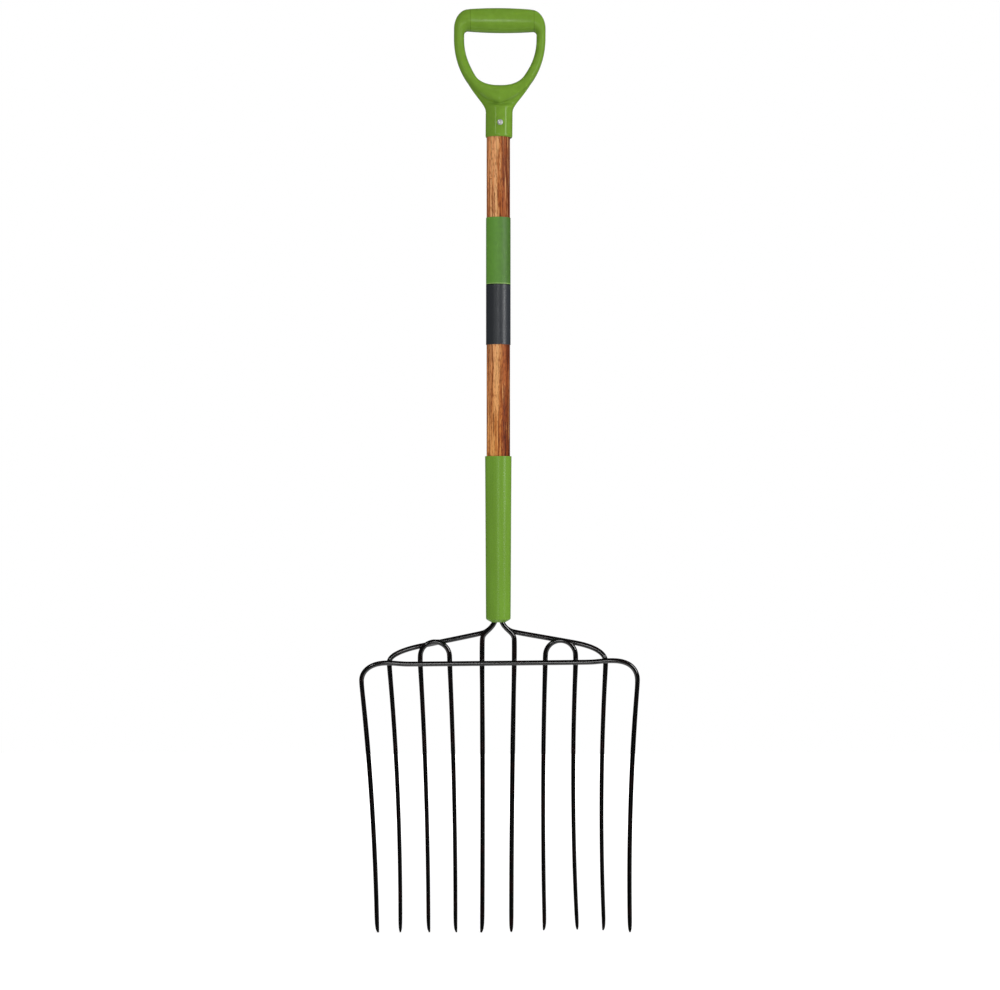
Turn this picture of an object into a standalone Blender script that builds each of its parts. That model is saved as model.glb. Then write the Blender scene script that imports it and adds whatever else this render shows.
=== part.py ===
"""Ensilage fork: ten steel tines on a head of bent rods, a ferrule, a timber shaft and a D-shaped grip.

Metres, +Z up along the shaft. The origin is the underside of the grip bar, on the shaft's axis: the
place that a hook or a peg bears on when the fork hangs. The front of the fork faces -Y.
"""

from dataclasses import dataclass
from math import cos, hypot, pi, radians, sin, tan

import bmesh
import bpy
from mathutils import Matrix, Vector
from mathutils.geometry import interpolate_bezier

# General fit
FIT = 0.0003
SIDES = 32
SMALL_SIDES = 16
CUT_OVERRUN = 0.002
MERGE_DISTANCE = 1e-7
SHARP_ANGLE = radians(35)

# D-shaped grip: the ring that the hand goes through
GRIP_WIDTH = 0.1219
GRIP_SHIFT = 0.0010
GRIP_LEAN = radians(0.45)
BAR_MIDDLE_HEIGHT = 0.0328
BAR_END_HEIGHT = 0.0297
BAR_END_RISE = 0.0015
BAR_DEPTH = 0.0288
OUTER_CORNER_WIDTH = 0.0200
OUTER_CORNER_HEIGHT = 0.0260
INNER_CORNER_RADIUS = 0.0040
ARM_WIDTH = 0.0129
ARM_DEPTH = 0.0236
ARM_STRAIGHT = 0.0127
HAND_HOLE_HEIGHT = 0.0706
HOLE_SHIFT = 0.0008
HOLE_SHIFT_RUN = 0.0300
OUTER_ARM_PULL = 0.0303
OUTER_FOOT_PULL = 0.0482
OUTER_FOOT_RISE = 0.0176
OUTER_CROWDING = 1.3
INNER_ARM_PULL = 0.0167
HIP_OUT = 0.0327
HIP_DROP = 0.0570
HIP_SLOPE = radians(32)
HIP_UPPER_PULL = 0.0222
HIP_LOWER_PULL = 0.0110
INNER_FOOT_PULL = 0.0157
FOOT_WIDTH = 0.0267
FOOT_DEPTH = 0.0345
BAR_ROUNDNESS = 2.1
ARM_ROUNDNESS = 2.3
FOOT_ROUNDNESS = 4.0
RING_SIDES = 16
CORNER_STEPS = 5
ARM_STEPS = 16

# D-shaped grip: the flare and the socket below the ring
FLARE_HEIGHT = 0.0085
FLARE_JOIN = 0.485
FLARE_LAP = 0.0008
FLARE_DEPTH = 0.0196
FLARE_FLAT_DROP = 0.0229
FLARE_SOCKET_PULL = 0.0121
FLARE_ARM_PULL = 0.0378
FLARE_ROUNDNESS = 2.6
FLARE_STEPS = 11
SOCKET_LENGTH = 0.0341
SOCKET_WALL = 0.0020
SOCKET_LIP_WIDTH = 0.0013
SOCKET_LIP_HEIGHT = 0.0036
SOCKET_LIP_STEPS = 3
SOCKET_BORE_DEPTH = 0.0395

# Rivet through the socket. The dome is in shares of the head's radius and height.
RIVET_DIAMETER = 0.0045
RIVET_HEAD_DIAMETER = 0.0076
RIVET_HEAD_HEIGHT = 0.0014
RIVET_DIMPLE_DIAMETER = 0.0030
RIVET_DIMPLE_DEPTH = 0.0008
RIVET_RISE = 0.0185
RIVET_TURN = radians(8)
HEAD_DOME = ((1.0, 0.0), (0.92, 0.5), (0.7, 0.87))

# Timber shaft and its label
SHAFT_DIAMETER = 0.0312
SHAFT_SHOWING = 0.4230
SHAFT_CHAMFER = 0.0015
SHAFT_END_ROOM = 0.0120
LABEL_THICKNESS = 0.00045
LABEL_DROP = 0.1063
LABEL_LENGTH = 0.1686

# Ferrule and its pin
FERRULE_WALL = 0.0017
FERRULE_LENGTH = 0.2205
FERRULE_NARROWING = 0.0010
FERRULE_NOSE = 0.0036
FERRULE_NOSE_RADIUS = 0.0034
FERRULE_INSIDE_RADIUS = 0.0028
PIN_DIAMETER = 0.0030
PIN_LENGTH = 0.0140
PIN_HEAD_DIAMETER = 0.0064
PIN_HEAD_HEIGHT = 0.0009
PIN_DROP = 0.0280

# Bent rods of the head
ROD_DIAMETER = 0.0062
ROD_GAP = 0.0004
ROD_BEVEL_STEPS = 4
BEND_STEP = radians(14)
TANG_LENGTH = 0.0830
NECK_DROP = 0.0016
NECK_SPREAD = 0.0430
NECK_HEIGHT = 0.0185
NECK_UPPER_BEND = 0.0210
NECK_LOWER_BEND = 0.0140
CROSSBAR_DROP = 0.0548
CROSSBAR_SLANT = 0.0105
CROSSBAR_FLAT = 0.1180
CROSSBAR_HUMP = 0.0020
CORNER_RUN = 0.0390
HUMP_STEPS = 4
CORNER_LEG = 0.0270
CORNER_LEG_PULL = 0.0190
HOOP_STEPS = 12
SHOULDER_FORK_BEND = 0.0200
SHOULDER_RUN = 0.0450
SHOULDER_RUN_PULL = 0.0350
BEZIER_POINTS = 9

# Tines
TINE_SETBACK = 0.0060
TINE_LENGTH = 0.3565
TINE_SWEEP_RADIUS = 0.7000
TINE_LEAN = radians(7)
TINE_ROOT_DIAMETER = 0.0056
TINE_END_DIAMETER = 0.0047
TINE_NECKING = 0.0180
TINE_STEPS = 13
POINT_LENGTH = 0.0050
POINT_DIAMETER = 0.0012
POINT_SET = 0.0014

# Weld beads
CROSS_WELD_WIDTH = 0.0080
SEAM_WELD_WIDTH = 0.0066
WELD_DEPTH = 0.0072
CROWN_WELD_LENGTH = 0.0220
NECK_WELD_LENGTH = 0.0130
WELD_SIDES = 12
WELD_BANDS = 8


@dataclass(frozen=True)
class Tine:
    """How one tine sits in the row.

    top, middle and tip are its X at the crossbar, half way down and at the point. short is how much
    shorter it is than the longest. side is -1, 0 or 1, the side that its point is dressed to.
    """

    top: float
    middle: float
    tip: float
    short: float = 0.0
    side: int = 0


@dataclass(frozen=True)
class Half:
    """One half of the head: its hand and the sizes that the bending left different on each side.

    fork is how far out the shoulder rod parts from the centre rod, rise how high it then runs above
    the crossbar, leg_pull how tall its last bend is, hoop_leg how far the hoop's straight legs stand
    above the crossbar, and corner_pull how square the crossbar's end is.
    """

    hand: int
    fork: float
    rise: float
    leg_pull: float
    hoop_leg: float
    corner_pull: float


HALVES = {
    "left": Half(-1, fork=0.0174, rise=0.0226, leg_pull=0.0080, hoop_leg=0.0088, corner_pull=0.0200),
    "right": Half(1, fork=0.0156, rise=0.0241, leg_pull=0.0120, hoop_leg=0.0101, corner_pull=0.0270),
}
TINES = {
    "left_end": Tine(-0.1851, -0.1688, -0.1590, side=1),
    "left_shoulder": Tine(-0.1456, -0.1338, -0.1285),
    "left_hoop_outer": Tine(-0.1041, -0.0960, -0.0916, side=1),
    "left_hoop_inner": Tine(-0.0648, -0.0588, -0.0562, side=1),
    "left_centre": Tine(-0.0217, -0.0209, -0.0211, side=-1),
    "right_centre": Tine(0.0213, 0.0184, 0.0171, short=0.0007),
    "right_hoop_inner": Tine(0.0626, 0.0597, 0.0609, short=0.0025, side=-1),
    "right_hoop_outer": Tine(0.1031, 0.0998, 0.1038, short=0.0035),
    "right_shoulder": Tine(0.1432, 0.1375, 0.1389, short=0.0025, side=-1),
    "right_end": Tine(0.1875, 0.1764, 0.1728, short=0.0005),
}

# Levels and radii worked out from the sizes above
BAR_TOP_Z = BAR_END_RISE + BAR_END_HEIGHT
ARM_TOP_Z = BAR_TOP_Z - OUTER_CORNER_HEIGHT - ARM_STRAIGHT
FOOT_Z = -HAND_HOLE_HEIGHT - FOOT_WIDTH
FLARE_FLAT_Z = -HAND_HOLE_HEIGHT - FLARE_FLAT_DROP
SHAFT_RADIUS = SHAFT_DIAMETER / 2
SOCKET_RADIUS = SHAFT_RADIUS + FIT + SOCKET_WALL
SOCKET_TOP_Z = FOOT_Z - FLARE_HEIGHT
SOCKET_END_Z = SOCKET_TOP_Z - SOCKET_LENGTH
SOCKET_BORE_TOP_Z = SOCKET_END_Z + SOCKET_BORE_DEPTH
SHAFT_TOP_Z = SOCKET_BORE_TOP_Z - FIT
RIVET_Z = SOCKET_END_Z + RIVET_RISE
FERRULE_TOP_Z = SOCKET_END_Z - SHAFT_SHOWING
FERRULE_END_Z = FERRULE_TOP_Z - FERRULE_LENGTH
FERRULE_TOP_RADIUS = SHAFT_RADIUS + FIT + FERRULE_WALL
FERRULE_END_RADIUS = FERRULE_TOP_RADIUS - FERRULE_NARROWING
SHAFT_END_Z = FERRULE_END_Z + SHAFT_END_ROOM
PIN_Z = FERRULE_TOP_Z - PIN_DROP
ROD_RADIUS = ROD_DIAMETER / 2
ROD_PITCH = ROD_DIAMETER + ROD_GAP
CROSSBAR_Z = FERRULE_END_Z - CROSSBAR_DROP


def material(name, colour, roughness, metallic=0.0):
    """A plain surface: its colour, roughness and metallic value."""
    made = bpy.data.materials.new(name)
    made.use_nodes = True
    shader = made.node_tree.nodes["Principled BSDF"]
    shader.inputs["Base Color"].default_value = (*colour, 1.0)
    shader.inputs["Roughness"].default_value = roughness
    shader.inputs["Metallic"].default_value = metallic
    made.diffuse_color = (*colour, 1.0)
    return made


def place(name, mesh, surface, matrix=None):
    """Put a mesh in the scene as one named piece with its surface, shaded smooth."""
    piece = bpy.data.objects.new(name, mesh)
    bpy.context.collection.objects.link(piece)
    if matrix:
        piece.matrix_world = matrix
    mesh.materials.clear()
    if surface:
        mesh.materials.append(surface)
    mesh.shade_smooth()
    mesh.set_sharp_from_angle(angle=SHARP_ANGLE)
    return piece


def combine(piece, operation, other):
    """Cut another piece out of this one, or join it on. The other one is only a guide."""
    other.hide_render = True
    other.display_type = "WIRE"
    step = piece.modifiers.new(operation.lower(), "BOOLEAN")
    step.operation = operation
    step.object = other


def mesh_of(shape, name):
    """Close a bmesh, point its faces outwards and hand over its mesh."""
    bmesh.ops.remove_doubles(shape, verts=shape.verts, dist=MERGE_DISTANCE)
    bmesh.ops.recalc_face_normals(shape, faces=shape.faces)
    mesh = bpy.data.meshes.new(name)
    shape.to_mesh(mesh)
    shape.free()
    return mesh


def loft(name, rings, surface=None, matrix=None, closed=False):
    """Skin a run of rings of points, joined end to end or capped at both ends."""
    shape = bmesh.new()
    loops = [[shape.verts.new(point) for point in ring] for ring in rings]
    pairs = list(zip(loops, loops[1:]))
    if closed:
        pairs.append((loops[-1], loops[0]))
    else:
        shape.faces.new(loops[0])
        shape.faces.new(loops[-1])
    for one, other in pairs:
        for i in range(len(one)):
            j = (i + 1) % len(one)
            shape.faces.new((one[i], one[j], other[j], other[i]))
    return place(name, mesh_of(shape, name), surface, matrix)


def turned(name, profile, surface=None, matrix=None, sides=SIDES, closed=False):
    """Spin a profile of (radius, height) points about Z. A closed profile leaves a hole through."""
    shape = bmesh.new()
    verts = [shape.verts.new((radius, 0.0, height)) for radius, height in profile]
    pairs = list(zip(verts, verts[1:]))
    if closed:
        pairs.append((verts[-1], verts[0]))
    edges = [shape.edges.new(pair) for pair in pairs]
    bmesh.ops.spin(shape, geom=verts + edges, cent=(0, 0, 0), axis=(0, 0, 1), angle=2 * pi,
                   steps=sides, use_merge=True)
    return place(name, mesh_of(shape, name), surface, matrix)


def rod(name, path, surface=None, extra=0.0):
    """A round rod along a path of (point, radius), made as a bevelled curve with filled ends."""
    curve = bpy.data.curves.new(name, "CURVE")
    curve.dimensions = "3D"
    curve.bevel_depth = 1.0
    curve.bevel_resolution = ROD_BEVEL_STEPS
    curve.use_fill_caps = True
    spline = curve.splines.new("POLY")
    spline.points.add(len(path) - 1)
    for point, (spot, radius) in zip(spline.points, path):
        point.co = (*spot, 1.0)
        point.radius = radius + extra
    guide = bpy.data.objects.new(name, curve)
    bpy.context.collection.objects.link(guide)
    evaluated = guide.evaluated_get(bpy.context.evaluated_depsgraph_get())
    shape = bmesh.new()
    shape.from_mesh(evaluated.to_mesh())
    evaluated.to_mesh_clear()
    bpy.data.objects.remove(guide)
    return place(name, mesh_of(shape, name), surface)


def fillet(before, corner, after, radius):
    """Points of the arc that rounds a corner of a path, in the plane of its two legs."""
    back = (before - corner).normalized()
    ahead = (after - corner).normalized()
    half = back.angle(ahead) / 2
    middle = corner + (back + ahead).normalized() * (radius / sin(half))
    start = corner + back * (radius / tan(half)) - middle
    end = corner + ahead * (radius / tan(half)) - middle
    turn = start.angle(end)
    steps = max(2, round(turn / BEND_STEP))
    arc = [start * sin(turn * (1 - i / steps)) + end * sin(turn * i / steps) for i in range(steps + 1)]
    return [middle + point / sin(turn) for point in arc]


def bezier(start, start_pull, end_pull, end, count=BEZIER_POINTS):
    """Points of a cubic curve between two places, pulled towards two others."""
    return [Vector(point) for point in interpolate_bezier(start, start_pull, end_pull, end, count)]


def evenly(line, count, crowding=1.0):
    """The same line again, in points spaced evenly along it, or crowded towards its start."""
    reached = [0.0]
    for one, other in zip(line, line[1:]):
        reached.append(reached[-1] + (other - one).length)
    points = []
    at = 0
    for i in range(count):
        wanted = reached[-1] * (i / (count - 1)) ** crowding
        while at < len(line) - 2 and reached[at + 1] < wanted:
            at += 1
        points.append(line[at].lerp(line[at + 1], (wanted - reached[at]) / (reached[at + 1] - reached[at])))
    return points


def crossing(path, axis, value, near):
    """Where a path of (point, radius) passes a value of one coordinate, nearest to a place.

    Given as (point, direction).
    """
    found = []
    for (one, _), (other, _) in zip(path, path[1:]):
        if (one[axis] - value) * (other[axis] - value) <= 0 and one[axis] != other[axis]:
            at = one.lerp(other, (value - one[axis]) / (other[axis] - one[axis]))
            found.append((at, (other - one).normalized()))
    return min(found, key=lambda pair: (pair[0] - near).length)


def ease(share):
    """A smooth start and stop between 0 and 1."""
    share = min(1.0, max(0.0, share))
    return share * share * (3 - 2 * share)


def squared(size, roundness):
    """A sine or cosine, pushed outwards to square up an ellipse."""
    return (1 if size >= 0 else -1) * abs(size) ** (2 / roundness)


def section(outer, inner, half_depth, roundness, sides=RING_SIDES):
    """A closed rounded section between an outer and an inner point in X and Z, deep in Y."""
    middle = (outer + inner) / 2
    reach = (outer - inner) / 2
    ring = []
    for i in range(sides):
        angle = 2 * pi * i / sides
        across = middle + reach * squared(cos(angle), roundness)
        ring.append(Vector((across.x, half_depth * squared(sin(angle), roundness), across.y)))
    return ring


def mirrored(point):
    """The same place on the other side of the grip."""
    return Vector((-point.x, point.y))


def arm_lines(steps):
    """Matching points down the outer and the inner line of the right arm, to the ring's foot.

    The outer line is the longer one, so its points crowd towards its top and stay level with the others.
    """
    fine = 4 * steps
    side = GRIP_WIDTH / 2
    outer = bezier(Vector((side, ARM_TOP_Z)), Vector((side, ARM_TOP_Z - OUTER_ARM_PULL)),
                   Vector((OUTER_FOOT_PULL, FOOT_Z + OUTER_FOOT_RISE)), Vector((0, FOOT_Z)), fine)
    top = Vector((side - ARM_WIDTH, ARM_TOP_Z))
    hip = Vector((HIP_OUT, -HIP_DROP))
    down = Vector((-sin(HIP_SLOPE), -cos(HIP_SLOPE)))
    inner = bezier(top, top - Vector((0, INNER_ARM_PULL)), hip - down * HIP_UPPER_PULL, hip, fine)
    inner += bezier(hip, hip + down * HIP_LOWER_PULL, Vector((INNER_FOOT_PULL, -HAND_HOLE_HEIGHT)),
                    Vector((0, -HAND_HOLE_HEIGHT)), fine)[1:]
    return list(zip(evenly(outer, steps, OUTER_CROWDING), evenly(inner, steps)))


def ring_stations():
    """Sections of the right half of the ring, from the middle of its bar round to its foot.

    Each is (outer point, inner point, half depth, roundness).
    """
    side = GRIP_WIDTH / 2
    bar_half = side - OUTER_CORNER_WIDTH
    stations = []
    for share in (0.0, 0.5, 1.0):
        bulge = 1 - share**2
        top = BAR_TOP_Z + (BAR_MIDDLE_HEIGHT - BAR_TOP_Z) * bulge
        under = BAR_END_RISE * (1 - bulge)
        stations.append((Vector((bar_half * share, top)), Vector((bar_half * share, under)),
                         BAR_DEPTH / 2, BAR_ROUNDNESS))
    outer_centre = Vector((bar_half, BAR_TOP_Z - OUTER_CORNER_HEIGHT))
    inner_centre = Vector((side - ARM_WIDTH - INNER_CORNER_RADIUS, BAR_END_RISE - INNER_CORNER_RADIUS))
    for i in range(1, CORNER_STEPS + 1):
        share = i / CORNER_STEPS
        way = Vector((sin(pi / 2 * share), cos(pi / 2 * share)))
        outer = outer_centre + Vector((way.x * OUTER_CORNER_WIDTH, way.y * OUTER_CORNER_HEIGHT))
        depth = BAR_DEPTH + (ARM_DEPTH - BAR_DEPTH) * share
        roundness = BAR_ROUNDNESS + (ARM_ROUNDNESS - BAR_ROUNDNESS) * share
        stations.append((outer, inner_centre + way * INNER_CORNER_RADIUS, depth / 2, roundness))
    for i, (outer, inner) in enumerate(arm_lines(ARM_STEPS)):
        share = (i / (ARM_STEPS - 1)) ** 2
        depth = ARM_DEPTH + (FOOT_DEPTH - ARM_DEPTH) * share
        roundness = ARM_ROUNDNESS + (FOOT_ROUNDNESS - ARM_ROUNDNESS) * share
        stations.append((outer, inner, depth / 2, roundness))
    return stations


def grip_place():
    """Where the grip sits: a little to the right of the shaft's axis and leaning to the right."""
    level = Vector((0, 0, RIVET_Z))
    lean = Matrix.Rotation(GRIP_LEAN, 4, "Y")
    return Matrix.Translation(level + Vector((GRIP_SHIFT, 0, 0))) @ lean @ Matrix.Translation(-level)


def hole_point(inner):
    """A place on the hand hole's edge, moved to the right by as much as the hole is off the middle."""
    off = HOLE_SHIFT * ease((inner.y + HAND_HOLE_HEIGHT) / HOLE_SHIFT_RUN)
    return Vector((inner.x + off, inner.y))


def make_ring(surface):
    """The hand ring: a barrel-shaped bar, two corners and two arms that meet at its foot."""
    right = ring_stations()
    left = [(mirrored(outer), mirrored(inner), depth, roundness)
            for outer, inner, depth, roundness in reversed(right[1:-1])]
    rings = [section(outer, hole_point(inner), depth, roundness)
             for outer, inner, depth, roundness in right + left]
    return loft("d_grip", rings, surface, grip_place(), closed=True)


def make_flare():
    """The flattened flare that carries the ring, and the round socket that it runs down into."""
    lines = arm_lines(2 * ARM_STEPS)
    join = round(FLARE_JOIN * (len(lines) - 1))
    outer, inner = lines[join]
    tangent = (lines[join + 1][0] - lines[join - 1][0]).normalized()
    arm = outer + (inner - outer).normalized() * FLARE_LAP
    start = Vector((SOCKET_RADIUS, SOCKET_TOP_Z))
    line = bezier(start, start + Vector((0, FLARE_SOCKET_PULL)), arm + tangent * FLARE_ARM_PULL, arm,
                  FLARE_STEPS)
    inside = SOCKET_RADIUS - SOCKET_LIP_WIDTH
    for i in range(SOCKET_LIP_STEPS + 1):
        turn = pi / 2 * (1 - i / SOCKET_LIP_STEPS)
        line.insert(0, Vector((inside + SOCKET_LIP_WIDTH * sin(turn),
                               SOCKET_END_Z + SOCKET_LIP_HEIGHT * (1 - cos(turn)))))
    rings = []
    for point in line:
        flat = ease((point.y - SOCKET_BORE_TOP_Z) / (FLARE_FLAT_Z - SOCKET_BORE_TOP_Z))
        half_depth = min(point.x, SOCKET_RADIUS) * (1 - flat) + FLARE_DEPTH / 2 * flat
        roundness = 2 + (FLARE_ROUNDNESS - 2) * flat
        turns = [2 * pi * i / SIDES for i in range(SIDES)]
        rings.append([Vector((point.x * squared(cos(a), roundness), half_depth * squared(sin(a), roundness),
                              point.y)) for a in turns])
    return loft("flare", rings, matrix=grip_place())


def make_hole_filler():
    """What keeps the flare out of the hand hole: the hole's outline, grown to the ring's middle."""
    half = [(outer + inner) / 2 for outer, inner in arm_lines(ARM_STEPS)]
    outline = half + [mirrored(point) for point in reversed(half[:-1])]
    rings = [[Vector((point.x, y, point.y)) for point in outline] for y in (-BAR_DEPTH, BAR_DEPTH)]
    return loft("hole_filler", rings, matrix=grip_place())


def make_grip(surface):
    """The whole moulded grip: ring, flare and socket in one piece, bored for the shaft and rivet."""
    grip = make_ring(surface)
    flare = make_flare()
    combine(flare, "DIFFERENCE", make_hole_filler())
    combine(grip, "UNION", flare)
    radius = SHAFT_RADIUS + FIT
    under = SOCKET_END_Z - CUT_OVERRUN
    bore = turned("socket_bore", [(0, under), (radius, under), (radius, SOCKET_BORE_TOP_Z),
                                  (0, SOCKET_BORE_TOP_Z)])
    combine(grip, "DIFFERENCE", bore)
    combine(grip, "DIFFERENCE", make_rivet_hole("grip_rivet_hole"))


def rivet_place():
    """Where the rivet lies: through the shaft's axis, front to back, turned a little to the right."""
    turn = Matrix.Rotation(RIVET_TURN, 4, "Z")
    return Matrix.Translation((0, 0, RIVET_Z)) @ turn @ Matrix.Rotation(pi / 2, 4, "X")


def make_rivet_hole(name):
    """The hole that the rivet passes through."""
    radius = RIVET_DIAMETER / 2 + FIT
    reach = SOCKET_RADIUS + CUT_OVERRUN
    profile = [(0, -reach), (radius, -reach), (radius, reach), (0, reach)]
    return turned(name, profile, matrix=rivet_place(), sides=SMALL_SIDES)


def make_rivet(surface):
    """The rivet, a shank right through the socket with a domed and dimpled head at each end."""
    seat = SOCKET_RADIUS + FIT
    crown = seat + RIVET_HEAD_HEIGHT
    front = [(RIVET_DIAMETER / 2, seat)]
    front += [(RIVET_HEAD_DIAMETER / 2 * out, seat + RIVET_HEAD_HEIGHT * up) for out, up in HEAD_DOME]
    front += [(RIVET_DIMPLE_DIAMETER / 2, crown), (0, crown - RIVET_DIMPLE_DEPTH)]
    back = [(radius, -height) for radius, height in reversed(front)]
    turned("grip_rivet", back + front, surface, rivet_place(), SMALL_SIDES)


def make_shaft(surface):
    """The timber shaft, tapered inside the ferrule and bored from below for the rods' tangs."""
    bore = hypot(ROD_PITCH / 2, ROD_PITCH / 2) + ROD_RADIUS + FIT
    bore_top = FERRULE_END_Z + TANG_LENGTH + FIT
    end_radius = ferrule_radius(SHAFT_END_Z) - FERRULE_WALL - FIT
    profile = [(0, SHAFT_TOP_Z), (SHAFT_RADIUS - SHAFT_CHAMFER, SHAFT_TOP_Z),
               (SHAFT_RADIUS, SHAFT_TOP_Z - SHAFT_CHAMFER), (SHAFT_RADIUS, FERRULE_TOP_Z),
               (end_radius, SHAFT_END_Z + SHAFT_CHAMFER), (end_radius - SHAFT_CHAMFER, SHAFT_END_Z),
               (bore, SHAFT_END_Z), (bore, bore_top), (0, bore_top)]
    shaft = turned("timber_shaft", profile, surface)
    combine(shaft, "DIFFERENCE", make_rivet_hole("shaft_rivet_hole"))
    combine(shaft, "DIFFERENCE", make_pin_hole("shaft_pin_hole"))


def make_label(surface):
    """The label, a thin sleeve wrapped round the shaft."""
    inner = SHAFT_RADIUS + FIT
    outer = inner + LABEL_THICKNESS
    top = SOCKET_END_Z - LABEL_DROP
    end = top - LABEL_LENGTH
    turned("label_sleeve", [(inner, top), (outer, top), (outer, end), (inner, end)], surface, closed=True)


def ferrule_radius(level):
    """The ferrule's outer radius at a height, on its long taper."""
    return FERRULE_TOP_RADIUS - FERRULE_NARROWING * (FERRULE_TOP_Z - level) / FERRULE_LENGTH


def mouth_radius():
    """The opening in the ferrule's lower end, just clear of the four rods where they spread."""
    mouth = Vector((0, 0, FERRULE_END_Z))
    spots = [crossing(path(HALVES["left"]), 2, FERRULE_END_Z, mouth)[0] for path in (centre_path, shoulder_path)]
    return max(hypot(spot.x, spot.y) for spot in spots) + ROD_RADIUS + 2 * FIT


def nose_line(wall, radius):
    """The ferrule's rounded lower end, as (radius, height), at a depth of wall under its skin."""
    mouth = Vector((mouth_radius(), FERRULE_END_Z + wall, 0))
    corner = Vector((FERRULE_END_RADIUS - wall, mouth.y + FERRULE_NOSE, 0))
    above = corner + Vector((0, FERRULE_LENGTH, 0))
    return [(point.x, point.y) for point in fillet(above, corner, mouth, radius) + [mouth]]


def make_ferrule(surface):
    """The ferrule, a long tapered steel tube whose lower end is drawn in round the rods."""
    outside = [(FERRULE_TOP_RADIUS, FERRULE_TOP_Z)] + nose_line(0, FERRULE_NOSE_RADIUS)
    inside = [(FERRULE_TOP_RADIUS - FERRULE_WALL, FERRULE_TOP_Z)]
    inside += nose_line(FERRULE_WALL, FERRULE_INSIDE_RADIUS)
    ferrule = turned("ferrule", outside + inside[::-1], surface, closed=True)
    combine(ferrule, "DIFFERENCE", make_pin_hole("ferrule_pin_hole"))


def pin_place():
    """Where the ferrule's pin is driven in, square to the back of the ferrule."""
    return Matrix.Translation((0, ferrule_radius(PIN_Z), PIN_Z)) @ Matrix.Rotation(-pi / 2, 4, "X")


def make_pin_hole(name):
    """The hole for the pin, from outside the ferrule to just past its end in the timber."""
    radius = PIN_DIAMETER / 2 + FIT
    depth = PIN_LENGTH + FIT
    profile = [(0, -depth), (radius, -depth), (radius, CUT_OVERRUN), (0, CUT_OVERRUN)]
    return turned(name, profile, matrix=pin_place(), sides=SMALL_SIDES)


def make_pin(surface):
    """The pin that locks ferrule and shaft, driven in from the back, with a low domed head."""
    shank = PIN_DIAMETER / 2
    profile = [(0, -PIN_LENGTH), (shank, -PIN_LENGTH), (shank, FIT)]
    profile += [(PIN_HEAD_DIAMETER / 2 * out, FIT + PIN_HEAD_HEIGHT * up) for out, up in HEAD_DOME]
    profile.append((0, FIT + PIN_HEAD_HEIGHT))
    turned("ferrule_pin", profile, surface, pin_place(), SMALL_SIDES)


def row_y(level):
    """How far back the rods stand at a level above the crossbar: they lean forward as they rise."""
    return TINE_SETBACK - tan(TINE_LEAN) * (level - CROSSBAR_Z)


def crossbar_spot(x):
    """A place on the crossbar's axis. It slants from end to end and rises a little at both ends."""
    corner = TINES["right_end"].top - CORNER_RUN
    run = (abs(x) - CROSSBAR_FLAT) / (corner - CROSSBAR_FLAT)
    level = CROSSBAR_Z + CROSSBAR_SLANT * x + CROSSBAR_HUMP * ease(run)
    return Vector((x, row_y(level) - ROD_PITCH, level))


def tine_spot(tine, share, ahead=0.0):
    """A place on a tine's axis, at a share of the longest tine's length below the crossbar."""
    angle = share * TINE_LENGTH / TINE_SWEEP_RADIUS - TINE_LEAN
    x = (tine.top * (1 - share) * (1 - 2 * share) + 4 * tine.middle * share * (1 - share)
         + tine.tip * share * (2 * share - 1))
    y = TINE_SETBACK + TINE_SWEEP_RADIUS * (cos(angle) - cos(TINE_LEAN)) - ahead * (1 - share)
    z = CROSSBAR_Z - TINE_SWEEP_RADIUS * (sin(angle) + sin(TINE_LEAN))
    return Vector((x, y, z))


def tine_radius(distance):
    """A tine's radius at a distance below the crossbar: necked down first, then a long taper."""
    root, end = TINE_ROOT_DIAMETER / 2, TINE_END_DIAMETER / 2
    if distance < TINE_NECKING:
        return ROD_RADIUS + (root - ROD_RADIUS) * distance / TINE_NECKING
    return root + (end - root) * (distance - TINE_NECKING) / (TINE_LENGTH - TINE_NECKING)


def tine_path(tine, start=0.0, ahead=0.0):
    """A tine's axis and radii from the crossbar, or a share below it, down to its dressed point."""
    length = TINE_LENGTH - tine.short
    shank = (length - POINT_LENGTH) / TINE_LENGTH
    path = []
    for i in range(TINE_STEPS + 1):
        share = start + (shank - start) * i / TINE_STEPS
        path.append((tine_spot(tine, share, ahead), tine_radius(share * TINE_LENGTH)))
    tip = tine_spot(tine, length / TINE_LENGTH, ahead) + Vector((POINT_SET * tine.side, 0, 0))
    path.append((tip, POINT_DIAMETER / 2))
    return path


def up_from(tine, share, ahead=0.0):
    """The direction up a tine at a share of its length."""
    step = 1 / TINE_STEPS
    return (tine_spot(tine, share, ahead) - tine_spot(tine, share + step / 4, ahead)).normalized()


def at_rod_radius(points):
    """Give plain rod thickness to a run of points."""
    return [(point, ROD_RADIUS) for point in points]


def half_name(half):
    """The word that starts the names of one half's pieces."""
    return "left" if half.hand < 0 else "right"


def neck_corners(half):
    """The corners of a centre rod: its tang's top, where it leaves the ferrule, and its knee."""
    x = half.hand * ROD_PITCH / 2
    y = -ROD_PITCH / 2
    knee = FERRULE_END_Z - NECK_HEIGHT
    return (Vector((x, y, FERRULE_END_Z + TANG_LENGTH)), Vector((x, y, FERRULE_END_Z - NECK_DROP)),
            Vector((half.hand * NECK_SPREAD / 2, row_y(knee), knee)))


def centre_path(half):
    """A centre rod: straight tang, out from the ferrule, down at the knee and on as a tine."""
    tine = TINES[half_name(half) + "_centre"]
    tang, mouth, knee = neck_corners(half)
    points = [tang] + fillet(tang, mouth, knee, NECK_UPPER_BEND)
    points += fillet(mouth, knee, tine_spot(tine, 0), NECK_LOWER_BEND)
    return at_rod_radius(points) + tine_path(tine)


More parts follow.
